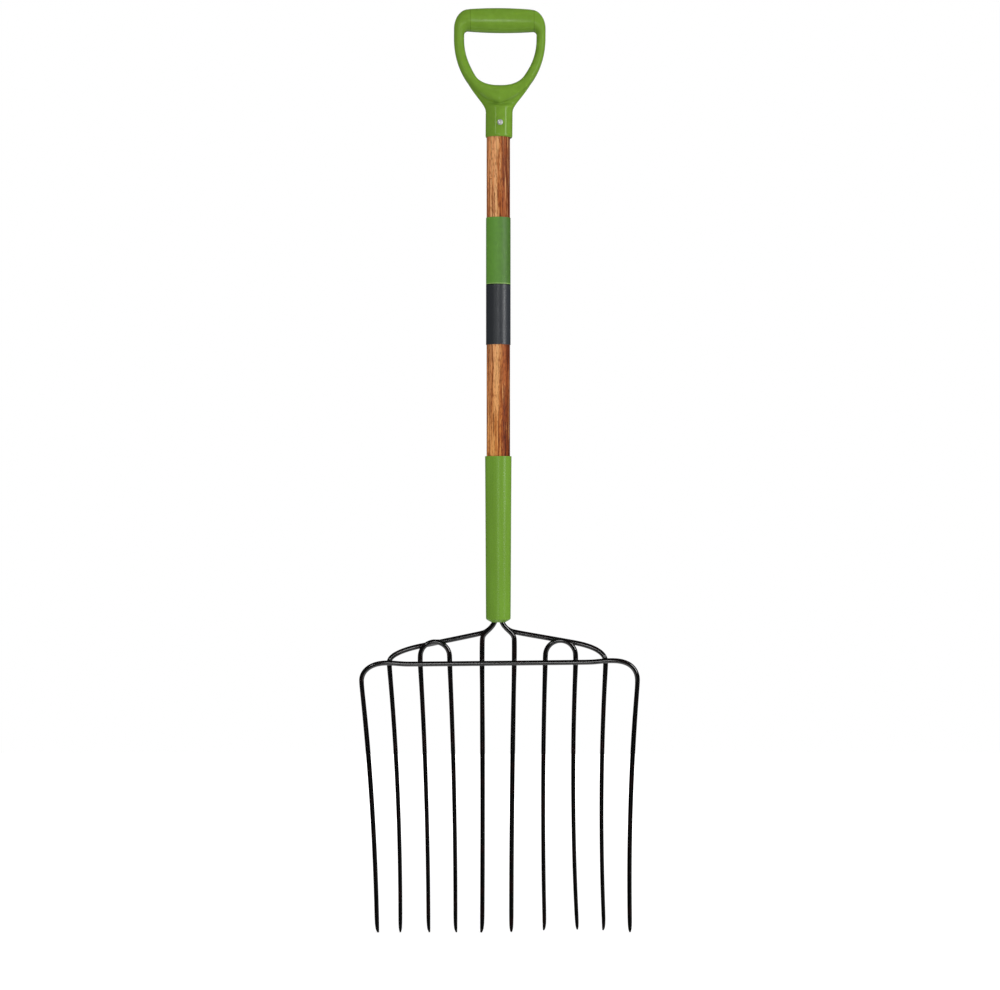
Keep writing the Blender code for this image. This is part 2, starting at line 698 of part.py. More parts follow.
def hoop_crown(half):
    """The top of a hoop, on the rod's axis."""
    outer, inner = TINES[half_name(half) + "_hoop_outer"], TINES[half_name(half) + "_hoop_inner"]
    level = CROSSBAR_Z + half.hoop_leg + abs(outer.top - inner.top) / 2
    return Vector(((outer.top + inner.top) / 2, row_y(level), level))


def hoop_path(half):
    """A hoop: one tine up, round over the crossbar in a half circle, and down as the next tine."""
    one, other = TINES[half_name(half) + "_hoop_outer"], TINES[half_name(half) + "_hoop_inner"]
    crown = hoop_crown(half)
    radius = (other.top - one.top) / 2
    points = []
    for i in range(HOOP_STEPS + 1):
        turn = pi * i / HOOP_STEPS
        level = crown.z - abs(radius) * (1 - sin(turn))
        points.append(Vector((crown.x - radius * cos(turn), row_y(level), level)))
    return tine_path(one)[::-1] + at_rod_radius(points) + tine_path(other)


def shoulder_path(half):
    """A shoulder rod: behind its centre rod to the fork, out along the shoulder, down as a tine."""
    tine = TINES[half_name(half) + "_shoulder"]
    tang, mouth, knee = [corner + Vector((0, ROD_PITCH, 0)) for corner in neck_corners(half)]
    fork = mouth.lerp(knee, (half.fork - abs(mouth.x)) / (abs(knee.x) - abs(mouth.x)))
    behind = hoop_crown(half) + Vector((0, ROD_PITCH, 0))
    end = Vector((tine.top - half.hand * SHOULDER_RUN, 0, crossbar_spot(tine.top).z + half.rise))
    end.y = fork.y + (behind.y - fork.y) * (end.x - fork.x) / (behind.x - fork.x)
    along = (end - fork).normalized()
    foot = tine_spot(tine, 0)
    points = [tang] + fillet(tang, mouth, fork, NECK_UPPER_BEND)
    points += fillet(mouth, fork, end, SHOULDER_FORK_BEND)
    points += bezier(end, end + along * SHOULDER_RUN_PULL, foot + up_from(tine, 0) * half.leg_pull, foot)[:-1]
    return at_rod_radius(points) + tine_path(tine)


def crossbar_end(half):
    """One bent end of the crossbar rod: the end of its straight, its corner and its tine."""
    tine = TINES[half_name(half) + "_end"]
    share = CORNER_LEG / TINE_LENGTH
    leg = tine_path(tine, share, ROD_PITCH)
    foot = leg[0][0]
    start = abs(tine.top) - CORNER_RUN
    reach = start - CROSSBAR_FLAT
    rise = [crossbar_spot(half.hand * (CROSSBAR_FLAT + reach * i / HUMP_STEPS)) for i in range(HUMP_STEPS)]
    bar = crossbar_spot(half.hand * start)
    corner = bezier(bar, bar + (bar - rise[-1]).normalized() * half.corner_pull,
                    foot + up_from(tine, share, ROD_PITCH) * CORNER_LEG_PULL, foot)
    return at_rod_radius(rise + corner[:-1]) + leg


def crossbar_path():
    """The crossbar, a rod across the front of the row whose bent ends are the outermost tines."""
    return crossbar_end(HALVES["left"])[::-1] + crossbar_end(HALVES["right"])


def weld(name, here, landing, size, surface, cutters):
    """A bead between two rods, its long way along the second one, hollowed to fit round both.

    size is its length and width.
    """
    there, along = landing
    across = (there - here).normalized()
    along = (along - across * along.dot(across)).normalized()
    turn = Matrix((along, across.cross(along), across)).transposed().to_4x4()
    scale = Matrix.Diagonal((size[0] / 2, size[1] / 2, WELD_DEPTH / 2, 1))
    shape = bmesh.new()
    bmesh.ops.create_uvsphere(shape, u_segments=WELD_SIDES, v_segments=WELD_BANDS, radius=1,
                              matrix=Matrix.Translation((here + there) / 2) @ turn @ scale)
    bead = place(name, mesh_of(shape, name), surface)
    for cutter in cutters:
        combine(bead, "DIFFERENCE", cutter)


def make_head(steel, bead_steel):
    """The head: seven bent rods with their ten tines, and the weld beads that hold them together."""
    paths = {"crossbar_rod": crossbar_path()}
    for side, half in HALVES.items():
        paths[side + "_centre_rod"] = centre_path(half)
        paths[side + "_shoulder_rod"] = shoulder_path(half)
        paths[side + "_hoop_rod"] = hoop_path(half)
    room = {}
    for name, path in paths.items():
        rod(name, path, steel)
        room[name] = rod(name + "_room", path, extra=FIT)
    upright = {"centre": "_centre_rod", "shoulder": "_shoulder_rod", "hoop_outer": "_hoop_rod",
               "hoop_inner": "_hoop_rod"}
    for side, half in HALVES.items():
        centre, shoulder, hoop = (side + ending for ending in ("_centre_rod", "_shoulder_rod", "_hoop_rod"))
        for part, ending in upright.items():
            spot = crossbar_spot(TINES[side + "_" + part].top)
            landing = crossing(paths[side + ending], 2, spot.z, spot)
            weld(f"weld_{side}_{part}", spot, landing, (CROSS_WELD_WIDTH, CROSS_WELD_WIDTH), bead_steel,
                 (room["crossbar_rod"], room[side + ending]))
        crown = hoop_crown(half)
        weld(f"weld_{side}_crown", crown, crossing(paths[shoulder], 0, crown.x, crown),
             (CROWN_WELD_LENGTH, SEAM_WELD_WIDTH), bead_steel, (room[hoop], room[shoulder]))
        fork = Vector((half.hand * half.fork, 0, FERRULE_END_Z))
        weld(f"weld_{side}_neck", crossing(paths[centre], 0, fork.x, fork)[0],
             crossing(paths[shoulder], 0, fork.x, fork), (NECK_WELD_LENGTH, SEAM_WELD_WIDTH), bead_steel,
             (room[centre], room[shoulder]))


def main():
    """Build the fork from its grip down to its tines."""
    for old in list(bpy.data.objects):
        bpy.data.objects.remove(old)
    green_plastic = material("green_plastic", (0.165, 0.300, 0.030), 0.35)
    green_paint = material("green_paint", (0.150, 0.290, 0.030), 0.30)
    label_film = material("label_film", (0.100, 0.330, 0.040), 0.40)
    timber = material("varnished_timber", (0.420, 0.170, 0.060), 0.40)
    black_steel = material("black_steel", (0.012, 0.011, 0.011), 0.35)
    bead_steel = material("weld_steel", (0.020, 0.018, 0.017), 0.50)
    bright_steel = material("bright_steel", (0.700, 0.700, 0.690), 0.25, 1.0)
    make_grip(green_plastic)
    make_rivet(bright_steel)
    make_shaft(timber)
    make_label(label_film)
    make_ferrule(green_paint)
    make_pin(green_paint)
    make_head(black_steel, bead_steel)


main()
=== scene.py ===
"""Dress an ensilage fork for its studio picture.

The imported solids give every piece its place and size. This script gives the moulded grip, the turned
pieces, the bent rods and the weld beads their fine shapes, gives every piece its finish, and sets up
the camera, the lights and the floor. Metres, +Z up along the shaft, the front of the fork facing -Y.
"""

import logging
from collections.abc import Iterator, Mapping, Sequence
from contextlib import contextmanager
from dataclasses import asdict, dataclass, fields, replace
from enum import Enum
from math import cos, pi, radians, sin
from typing import ClassVar

import bmesh
import bpy
from bpy.types import ID, Material, Node, NodeSocket, NodeTree, Object, ShaderNodeTree
from mathutils import Matrix, Vector
from mathutils.geometry import interpolate_bezier


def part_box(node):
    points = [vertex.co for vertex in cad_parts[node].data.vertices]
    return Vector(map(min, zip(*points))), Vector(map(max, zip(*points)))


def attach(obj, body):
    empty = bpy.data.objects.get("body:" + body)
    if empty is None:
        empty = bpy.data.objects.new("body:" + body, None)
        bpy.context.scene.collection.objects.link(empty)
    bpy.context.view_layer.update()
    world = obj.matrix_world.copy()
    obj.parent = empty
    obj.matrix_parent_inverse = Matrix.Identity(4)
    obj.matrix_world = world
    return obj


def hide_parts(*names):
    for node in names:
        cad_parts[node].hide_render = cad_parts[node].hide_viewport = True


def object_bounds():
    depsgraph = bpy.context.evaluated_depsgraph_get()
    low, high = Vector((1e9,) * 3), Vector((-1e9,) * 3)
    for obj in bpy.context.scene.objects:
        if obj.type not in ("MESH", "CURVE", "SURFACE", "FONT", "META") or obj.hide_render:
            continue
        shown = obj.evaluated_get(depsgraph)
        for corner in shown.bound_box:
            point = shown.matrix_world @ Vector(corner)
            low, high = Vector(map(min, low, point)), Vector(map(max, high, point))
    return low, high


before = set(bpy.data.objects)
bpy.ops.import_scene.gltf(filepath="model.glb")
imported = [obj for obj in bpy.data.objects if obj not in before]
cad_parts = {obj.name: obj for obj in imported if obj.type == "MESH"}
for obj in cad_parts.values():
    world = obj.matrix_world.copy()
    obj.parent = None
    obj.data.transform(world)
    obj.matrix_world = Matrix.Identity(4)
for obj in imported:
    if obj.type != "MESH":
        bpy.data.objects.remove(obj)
CAD_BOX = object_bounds()
BODY = "root"
SOFTENING = 0.5
ELLIPSE = 2.0
WHITE = (1.0, 1.0, 1.0, 1.0)
Colour = tuple[float, float, float, float]
MIX_COLOURS = (6, 7)
MIX_RESULT = 2
log = logging.getLogger("ensilage_fork")


class Slot(Enum):
    """The record's material slots."""

    GREEN_PLASTIC = "green_plastic"
    BRIGHT_STEEL = "bright_steel"
    TIMBER = "varnished_timber"
    LABEL = "label_film"
    GREEN_PAINT = "green_paint"
    BLACK_STEEL = "black_steel"
    WELD = "weld_steel"


class Side(Enum):
    """The two halves of the head, by the word that starts the names of their pieces."""

    LEFT = "left"
    RIGHT = "right"


class Fade(Enum):
    """How a value goes from one end of a range to the other."""

    EVEN = "LINEAR"
    SOFT = "SMOOTHSTEP"


# Shapes worked out in numbers


def ease(share: float) -> float:
    """A smooth start and stop between 0 and 1."""
    share = min(1.0, max(0.0, share))
    return share * share * (3 - 2 * share)


def squared(size: float, roundness: float) -> float:
    """A sine or cosine, pushed outwards to square up an ellipse."""
    return (1 if size >= 0 else -1) * abs(size) ** (ELLIPSE / roundness)


def turns(sides: int) -> list[float]:
    """The angles of a round's points."""
    return [2 * pi * i / sides for i in range(sides)]


def bezier(start: Vector, start_pull: Vector, end_pull: Vector, end: Vector, count: int) -> list[Vector]:
    """Points of a flat cubic curve between two places, pulled towards two others."""
    corners = [point.to_3d() for point in (start, start_pull, end_pull, end)]
    return [point.to_2d() for point in interpolate_bezier(*corners, count)]


def evenly(line: Sequence[Vector], count: int, crowding: float = 1.0) -> list[Vector]:
    """The same line again, in points spaced evenly along it, or crowded towards its start.

    Args:
        line: The points of the line.
        count: How many points to give.
        crowding: 1 for even spacing, more to crowd the points towards the start.

    Returns:
        The respaced points.
    """
    reached = [0.0]
    for one, other in zip(line, line[1:]):
        reached.append(reached[-1] + (other - one).length)
    points = []
    at = 0
    for i in range(count):
        wanted = reached[-1] * (i / (count - 1)) ** crowding
        while at < len(line) - 2 and reached[at + 1] < wanted:
            at += 1
        share = (wanted - reached[at]) / (reached[at + 1] - reached[at])
        points.append(line[at].lerp(line[at + 1], share))
    return points


# Working with Blender's tools


def put(name: str, data: ID) -> Object:
    """Put a new object with its data in the scene.

    Args:
        name: The object's name.
        data: Its mesh, lamp or camera.

    Returns:
        The object.
    """
    made = bpy.data.objects.new(name, data)
    bpy.context.scene.collection.objects.link(made)
    return made


def deselect_all() -> None:
    """Leave edit mode and clear the selection, so that an operator acts only on what is chosen next."""
    if bpy.context.mode != "OBJECT":
        bpy.ops.object.mode_set(mode="OBJECT")
    bpy.ops.object.select_all(action="DESELECT")


def choose(piece: Object) -> None:
    """Make one piece the only selected object and the active one.

    Args:
        piece: The piece to work on.
    """
    deselect_all()
    piece.select_set(True)
    bpy.context.view_layer.objects.active = piece


@contextmanager
def shaping(piece: Object) -> Iterator[None]:
    """Work on a piece in edit mode, starting with nothing selected in it.

    Args:
        piece: The piece to shape.
    """
    choose(piece)
    bpy.ops.object.mode_set(mode="EDIT")
    bpy.ops.mesh.select_all(action="DESELECT")
    yield
    bpy.ops.object.mode_set(mode="OBJECT")


def apply_modifier(piece: Object, kind: str, **settings: object) -> None:
    """Put a modifier on a piece and apply it.

    Args:
        piece: The piece to change.
        kind: The modifier's type.
        settings: The modifier's own settings.
    """
    choose(piece)
    bpy.ops.object.modifier_add(type=kind)
    modifier = piece.modifiers[-1]
    for key, value in settings.items():
        setattr(modifier, key, value)
    bpy.ops.object.modifier_apply(modifier=modifier.name)


def remesh(piece: Object, voxel: float, smoothing: int = 0) -> None:
    """Give a piece one even skin of small faces, and soften it.

    Args:
        piece: The piece to change.
        voxel: How fine its new skin is.
        smoothing: How often the skin is softened.
    """
    apply_modifier(piece, "REMESH", mode="VOXEL", voxel_size=voxel, use_smooth_shade=True)
    if smoothing:
        apply_modifier(piece, "SMOOTH", factor=SOFTENING, iterations=smoothing)


def combine(piece: Object, operation: str, other: Object) -> None:
    """Join another piece to this one (UNION) or cut it out (DIFFERENCE), and use the other one up."""
    apply_modifier(piece, "BOOLEAN", operation=operation, object=other)
    bpy.data.objects.remove(other)


def select_loops(piece: Object, sides: int, *numbers: int) -> None:
    """Select some of the section loops that a piece in edit mode is made of.

    Args:
        piece: The piece in edit mode.
        sides: How many points each loop has.
        numbers: Which loops to select, in the order in which they were added.
    """
    shape = bmesh.from_edit_mesh(piece.data)
    shape.verts.ensure_lookup_table()
    wanted = {number * sides + i for number in numbers for i in range(sides)}
    for vert in shape.verts:
        vert.select = vert.index in wanted
    shape.select_flush_mode()
    bmesh.update_edit_mesh(piece.data)


def skin(name: str, loops: Sequence[Sequence[Vector]], closed: bool = False) -> Object:
    """Model a piece from sections: circles are added, shaped one by one and bridged in turn.

    Args:
        name: The new piece's name.
        loops: The sections' points, the same number in each.
        closed: Whether the last section meets the first. Otherwise both ends are filled.

    Returns:
        The new piece, with its faces pointing outwards.
    """
    sides = len(loops[0])
    last = len(loops) - 1
    deselect_all()
    bpy.ops.mesh.primitive_circle_add(vertices=sides, radius=1)
    piece = bpy.context.active_object
    piece.name = piece.data.name = name
    with shaping(piece):
        for _ in loops[1:]:
            bpy.ops.mesh.primitive_circle_add(vertices=sides, radius=1)
        shape = bmesh.from_edit_mesh(piece.data)
        for vert, spot in zip(shape.verts, (point for loop in loops for point in loop)):
            vert.co = spot
        bmesh.update_edit_mesh(piece.data)
        pairs = [(number, number + 1) for number in range(last)]
        if closed:
            pairs.append((last, 0))
        for pair in pairs:
            select_loops(piece, sides, *pair)
            bpy.ops.mesh.bridge_edge_loops()
        if not closed:
            for end in (0, last):
                select_loops(piece, sides, end)
                bpy.ops.mesh.edge_face_add()
        bpy.ops.mesh.select_all(action="SELECT")
        bpy.ops.mesh.normals_make_consistent(inside=False)
    return piece


def turned(name: str, profile: Sequence[tuple[float, float]], sides: int, closed: bool = False) -> Object:
    """Model a piece that is round about the Z axis from its profile.

    Args:
        name: The new piece's name.
        profile: The (radius, height) of each section.
        sides: How many sides the round has.
        closed: Whether the profile comes back to its start, as a tube's does.

    Returns:
        The new piece.
    """
    loops = []
    for radius, height in profile:
        loops.append([Vector((radius * cos(turn), radius * sin(turn), height)) for turn in turns(sides)])
    return skin(name, loops, closed)


@dataclass(frozen=True)
class Refining:
    """How a copy of a CAD node is made fine.

    levels is how often it is subdivided, swell how far its skin is then pushed out to keep its
    thickness, and crease the angle in radians from which an edge stays sharp. stout is how much further
    the skin is pushed out below stout_from, growing over stout_run. merge is how near two points are one,
    and quads the angle up to which two triangles make a quad.
    """

    levels: int = 2
    swell: float = 0.00040
    crease: float = radians(40)
    merge: float = 2e-6
    quads: float = radians(18)
    stout: float = 0.0
    stout_from: float = -0.86
    stout_run: float = 0.09

    def copy(self, node: str, name: str) -> Object:
        """Copy a CAD node, merge it into clean quads and round it off.

        Args:
            node: The CAD node's name.
            name: The new piece's name.

        Returns:
            The fine copy.
        """
        piece = put(name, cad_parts[node].data.copy())
        piece.data.name = name
        piece.data.materials.clear()
        choose(piece)
        if piece.data.has_custom_normals:
            bpy.ops.mesh.customdata_custom_splitnormals_clear()
        with shaping(piece):
            bpy.ops.mesh.select_all(action="SELECT")
            bpy.ops.mesh.remove_doubles(threshold=self.merge)
            bpy.ops.mesh.tris_convert_to_quads(face_threshold=self.quads, shape_threshold=pi)
            bpy.ops.mesh.mark_sharp(clear=True)
            bpy.ops.mesh.normals_make_consistent(inside=False)
            bpy.ops.mesh.select_all(action="DESELECT")
            bpy.ops.mesh.edges_select_sharp(sharpness=self.crease)
            bpy.ops.transform.edge_crease(value=1)
        apply_modifier(piece, "SUBSURF", levels=self.levels, render_levels=self.levels)
        if self.swell:
            apply_modifier(piece, "DISPLACE", strength=self.swell, mid_level=0.0)
        if self.stout:
            lower = piece.vertex_groups.new(name="lower")
            for vert in piece.data.vertices:
                lower.add([vert.index], ease((self.stout_from - vert.co.z) / self.stout_run), "REPLACE")
            apply_modifier(piece, "DISPLACE", strength=self.stout, mid_level=0.0, vertex_group=lower.name)
            piece.vertex_groups.clear()
        return piece


def finish_piece(piece: Object, finish: Material, node: str, sharp: float = radians(40)) -> None:
    """Shade a piece, give it its finish and hand it to the frame.

    Args:
        piece: The finished piece.
        finish: Its material.
        node: The CAD node that it stands for.
        sharp: The angle in radians from which an edge shows as an edge.
    """
    piece.data.materials.clear()
    piece.data.materials.append(finish)
    choose(piece)
    bpy.ops.object.shade_smooth_by_angle(angle=sharp)
    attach(piece, BODY)
    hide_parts(node)
    log.info("%s stands for %s, %d faces", piece.name, node, len(piece.data.polygons))


# Wiring of materials


def linear(red: int, green: int, blue: int) -> Colour:
    """The colour that the shader works in for a screen colour of 0 to 255 each, with full alpha."""
    shares = [value / 255 for value in (red, green, blue)]
    return (*(s / 12.92 if s <= 0.04045 else ((s + 0.055) / 1.055) ** 2.4 for s in shares), 1.0)


class Wiring:
    """Adds nodes to one node tree, sets their sockets and links them."""

    def __init__(self, tree: NodeTree) -> None:
        """Work on a material's, a world's or a group's node tree."""
        self.tree = tree

    def feed(self, node: Node, sockets: Mapping) -> None:
        """Give a node its inputs.

        Args:
            node: The node.
            sockets: Its inputs by name or number, each a value or the output to link to it.
        """
        for key, value in sockets.items():
            if isinstance(value, NodeSocket):
                self.tree.links.new(value, node.inputs[key])
            else:
                node.inputs[key].default_value = value

    def add(self, kind: str, sockets: Mapping | None = None, **settings: object) -> Node:
        """Add a node.

        Args:
            kind: The node's type.
            sockets: Its inputs, as feed takes them.
            settings: The node's own settings.

        Returns:
            The new node.
        """
        node = self.tree.nodes.new(kind)
        for key, value in settings.items():
            setattr(node, key, value)
        self.feed(node, sockets or {})
        return node

    def place(self) -> NodeSocket:
        """The object coordinates, in metres."""
        return self.add("ShaderNodeTexCoord").outputs["Object"]

    def split(self, vector: NodeSocket) -> Mapping[str, NodeSocket]:
        """The X, Y and Z of a vector."""
        return self.add("ShaderNodeSeparateXYZ", {"Vector": vector}).outputs

    def noise(self, vector: NodeSocket, scale: object, detail: object) -> Mapping[str, NodeSocket]:
        """Noise over a vector, as Fac and Color."""
        return self.add("ShaderNodeTexNoise", {"Vector": vector, "Scale": scale, "Detail": detail}).outputs

    def math(self, operation: str, one: object, other: object = 0.0) -> NodeSocket:
        """The result of an operation on one or two values or sockets."""
        return self.add("ShaderNodeMath", {0: one, 1: other}, operation=operation).outputs[0]

    def vector(self, operation: str, one: object, other: object, socket: object = 1) -> NodeSocket:
        """The result of an operation on a vector and what its other socket gets."""
        return self.add("ShaderNodeVectorMath", {0: one, socket: other}, operation=operation).outputs[0]

    def mix(self, share: object, one: object, other: object, blend: str = "MIX") -> NodeSocket:
        """A colour or socket with a share of another one over it."""
        sockets = {"Factor": share, **dict(zip(MIX_COLOURS, (one, other)))}
        return self.add("ShaderNodeMix", sockets, data_type="RGBA", blend_type=blend).outputs[MIX_RESULT]

    def between(self, value: NodeSocket, low: object, high: object, ends: tuple[float, float] = (0.0, 1.0),
                fade: Fade = Fade.SOFT) -> NodeSocket:
        """Map a value from one range to another.

        Args:
            value: The value's socket.
            low: Where the mapping starts, a value or socket.
            high: Where it ends, a value or socket.
            ends: What it gives at low and at high.
            fade: How it goes from the one to the other.

        Returns:
            The mapped value's socket.
        """
        sockets = {"Value": value, "From Min": low, "From Max": high, "To Min": ends[0], "To Max": ends[1]}
        return self.add("ShaderNodeMapRange", sockets, interpolation_type=fade.value).outputs[0]

    def spread(self, mask: NodeSocket, ends: tuple[float, float], fade: Fade = Fade.SOFT) -> NodeSocket:
        """Map a mask's 0 to 1 to a range."""
        return self.between(mask, 0.0, 1.0, ends, fade)

    def inverse(self, mask: NodeSocket) -> NodeSocket:
        """What a mask leaves out."""
        return self.math("SUBTRACT", 1.0, mask)


class Surface(Wiring):
    """A material in the making, with its shader."""

    def __init__(self, name: str, **plain: float) -> None:
        """Start the material.

        Args:
            name: The material's name.
            plain: Shader sockets that are the same all over, with _ for a space.
        """
        self.material = bpy.data.materials.new(name)
        self.material.use_nodes = True
        super().__init__(self.material.node_tree)
        self.shader = self.tree.nodes["Principled BSDF"]
        self.feed(self.shader, {key.replace("_", " "): value for key, value in plain.items()})

    def wear(self, sockets: Mapping) -> None:
        """Give the shader its inputs."""
        self.feed(self.shader, sockets)


class Pattern:
    """A shared surface effect with the values that one finish gives it.

    The effect is a shader node group on object coordinates, built once. A pattern's fields are the
    group's inputs, and Mask is its output.
    """

    @classmethod
    def group(cls) -> ShaderNodeTree:
        """The effect's node group, built when it is first needed."""
        return bpy.data.node_groups.get(cls.__name__.lower()) or cls.make_group()

    @classmethod
    def make_group(cls) -> ShaderNodeTree:
        """Build the effect's node group.

        Returns:
            The group.
        """
        group = bpy.data.node_groups.new(cls.__name__.lower(), "ShaderNodeTree")
        for entry in fields(cls):
            name = entry.name.capitalize()
            socket = group.interface.new_socket(name, in_out="INPUT", socket_type="NodeSocketFloat")
            socket.default_value = entry.default
        group.interface.new_socket("Mask", in_out="OUTPUT", socket_type="NodeSocketFloat")
        wiring = Wiring(group)
        given = wiring.add("NodeGroupInput").outputs
        wiring.add("NodeGroupOutput", {"Mask": cls.draw(wiring, given)})
        return group

    @staticmethod
    def draw(wiring: Wiring, given: Mapping[str, NodeSocket]) -> NodeSocket:
        """Wire the effect inside its group."""
        raise NotImplementedError

    def mask(self, surface: Surface) -> NodeSocket:
        """Place the effect in a surface with this pattern's values."""
        values = {key.capitalize(): value for key, value in asdict(self).items()}
        return surface.add("ShaderNodeGroup", values, node_tree=self.group()).outputs[0]


@dataclass(frozen=True)
class Clouds(Pattern):
    """Soft patches: uneven colour, sheen or a gently uneven skin."""

    scale: float = 100.0
    detail: float = 3.0
    low: float = 0.35
    high: float = 0.65

    @staticmethod
    def draw(wiring: Wiring, given: Mapping[str, NodeSocket]) -> NodeSocket:
        """Noise, mapped from low to high."""
        noise = wiring.noise(wiring.place(), given["Scale"], given["Detail"])
        return wiring.between(noise["Fac"], given["Low"], given["High"])


@dataclass(frozen=True)
class Streaks(Pattern):
    """Long streaks up the piece: wood fibres, drawn paint or wiping marks.

    across and along are how many there are to a metre, and wander is how far in metres they stray to
    the sides on their way. drift_scale and drift_detail are the slower noise that they stray with.
    """

    drift_scale: ClassVar[float] = 24.0
    drift_detail: ClassVar[float] = 2.0
    noise_middle: ClassVar[tuple] = (0.5, 0.5, 0.5)
    across: float = 300.0
    along: float = 6.0
    wander: float = 0.0
    detail: float = 4.0
    low: float = 0.35
    high: float = 0.65

    @classmethod
    def draw(cls, wiring: Wiring, given: Mapping[str, NodeSocket]) -> NodeSocket:
        """Noise on a place that strays with slower noise and is stretched up the piece.

        Args:
            wiring: The group's wiring.
            given: The group's inputs.

        Returns:
            The mask.
        """
        slow = wiring.noise(wiring.place(), cls.drift_scale, cls.drift_detail)
        drift = wiring.vector("SUBTRACT", slow["Color"], cls.noise_middle)
        drift = wiring.vector("SCALE", drift, given["Wander"], "Scale")
        strayed = wiring.vector("ADD", wiring.place(), drift)
        parts = {"X": given["Across"], "Y": given["Across"], "Z": given["Along"]}
        stretch = wiring.add("ShaderNodeCombineXYZ", parts).outputs[0]
        noise = wiring.noise(wiring.vector("MULTIPLY", strayed, stretch), 1.0, given["Detail"])
        return wiring.between(noise["Fac"], given["Low"], given["High"])


@dataclass(frozen=True)
class Specks(Pattern):
    """Small round grains: the bite of a powder coat or dust under lacquer."""

    scale: float = 900.0
    size: float = 0.35

    @staticmethod
    def draw(wiring: Wiring, given: Mapping[str, NodeSocket]) -> NodeSocket:
        """Round spots in the middle of scattered cells."""
        cells = wiring.add("ShaderNodeTexVoronoi", {"Vector": wiring.place(), "Scale": given["Scale"]})
        return wiring.between(cells.outputs["Distance"], given["Size"], 0.0)


@dataclass(frozen=True)
class Relief:
    """A bump: how deep it goes in metres, how strongly it shows, and the pattern that gives its height."""

    depth: float
    strength: float = 1.0
    pattern: Pattern | None = None

    def wire(self, surface: Surface, under: NodeSocket | None = None,
             height: NodeSocket | None = None) -> NodeSocket:
        """Wire the bump into a surface.

        Args:
            surface: The surface that gets the bump.
            under: The normal of a bump under this one.
            height: The height's socket, from 0 to 1, where there is no pattern.

        Returns:
            The bump's normal socket.
        """
        height = self.pattern.mask(surface) if self.pattern else height
        sockets = {"Strength": self.strength, "Distance": self.depth, "Height": height}
        if under:
            sockets["Normal"] = under
        normal = surface.add("ShaderNodeBump", sockets).outputs[0]
        surface.wear({"Normal": normal})
        return normal


# The finishes


@dataclass(frozen=True)
class MouldedPlastic:
    """Satin green plastic, a little uneven in colour, with a fine moulded skin and two grooved seams on the
    bar, darkened with painted shade.
    """

    deep: Colour = linear(104, 140, 46)
    bright: Colour = linear(112, 149, 51)
    tone: Pattern = Clouds(130.0, 6.0, 0.20, 0.80)
    sheen: Pattern = Clouds(160.0, 5.0, 0.30, 0.70)
    roughness: tuple[float, float] = (0.07, 0.10)
    waves: Relief = Relief(0.00003, 0.5, Clouds(70.0, 2.0, 0.20, 0.80))
    skin: Relief = Relief(0.000004, 1.0, Clouds(2600.0, 2.0, 0.25, 0.75))
    seams: tuple[float, float] = (-0.0370, 0.0475)
    seam_half: float = 0.0008
    seam_foot: float = -0.003
    # painted shade: the tint that darkens the seams as if shade lay in their grooves
    seam_painted_shade: Colour = (0.62, 0.66, 0.55, 1.0)
    seam_groove: Relief = Relief(0.00012)

    def make(self) -> Material:
        """Build the material.

        Returns:
            The material.
        """
        surface = Surface("moulded_green_plastic", Specular_IOR_Level=0.13)
        colour = surface.mix(self.tone.mask(surface), self.deep, self.bright)
        split = surface.split(surface.place())
        offsets = [surface.math("SUBTRACT", split["X"], seam) for seam in self.seams]
        left, right = (surface.math("ABSOLUTE", offset) for offset in offsets)
        near = surface.between(surface.math("MINIMUM", left, right), self.seam_half, 0.0)
        seam = surface.math("MULTIPLY", near, surface.math("GREATER_THAN", split["Z"], self.seam_foot))
        # painted shade: the plastic's colour is darkened along the seams, on top of their real groove bump
        colour = surface.mix(seam, colour, self.seam_painted_shade, "MULTIPLY")
        rough = surface.spread(self.sheen.mask(surface), self.roughness)
        surface.wear({"Base Color": colour, "Roughness": rough})
        under = self.skin.wire(surface, self.waves.wire(surface))
        self.seam_groove.wire(surface, under, surface.inverse(seam))
        return surface.material


def grain(across: float, along: float, low: float, high: float) -> Streaks:
    """Streaks of the timber's own wandering grain."""
    return Streaks(across, along, wander=0.003, detail=3.0, low=low, high=high)


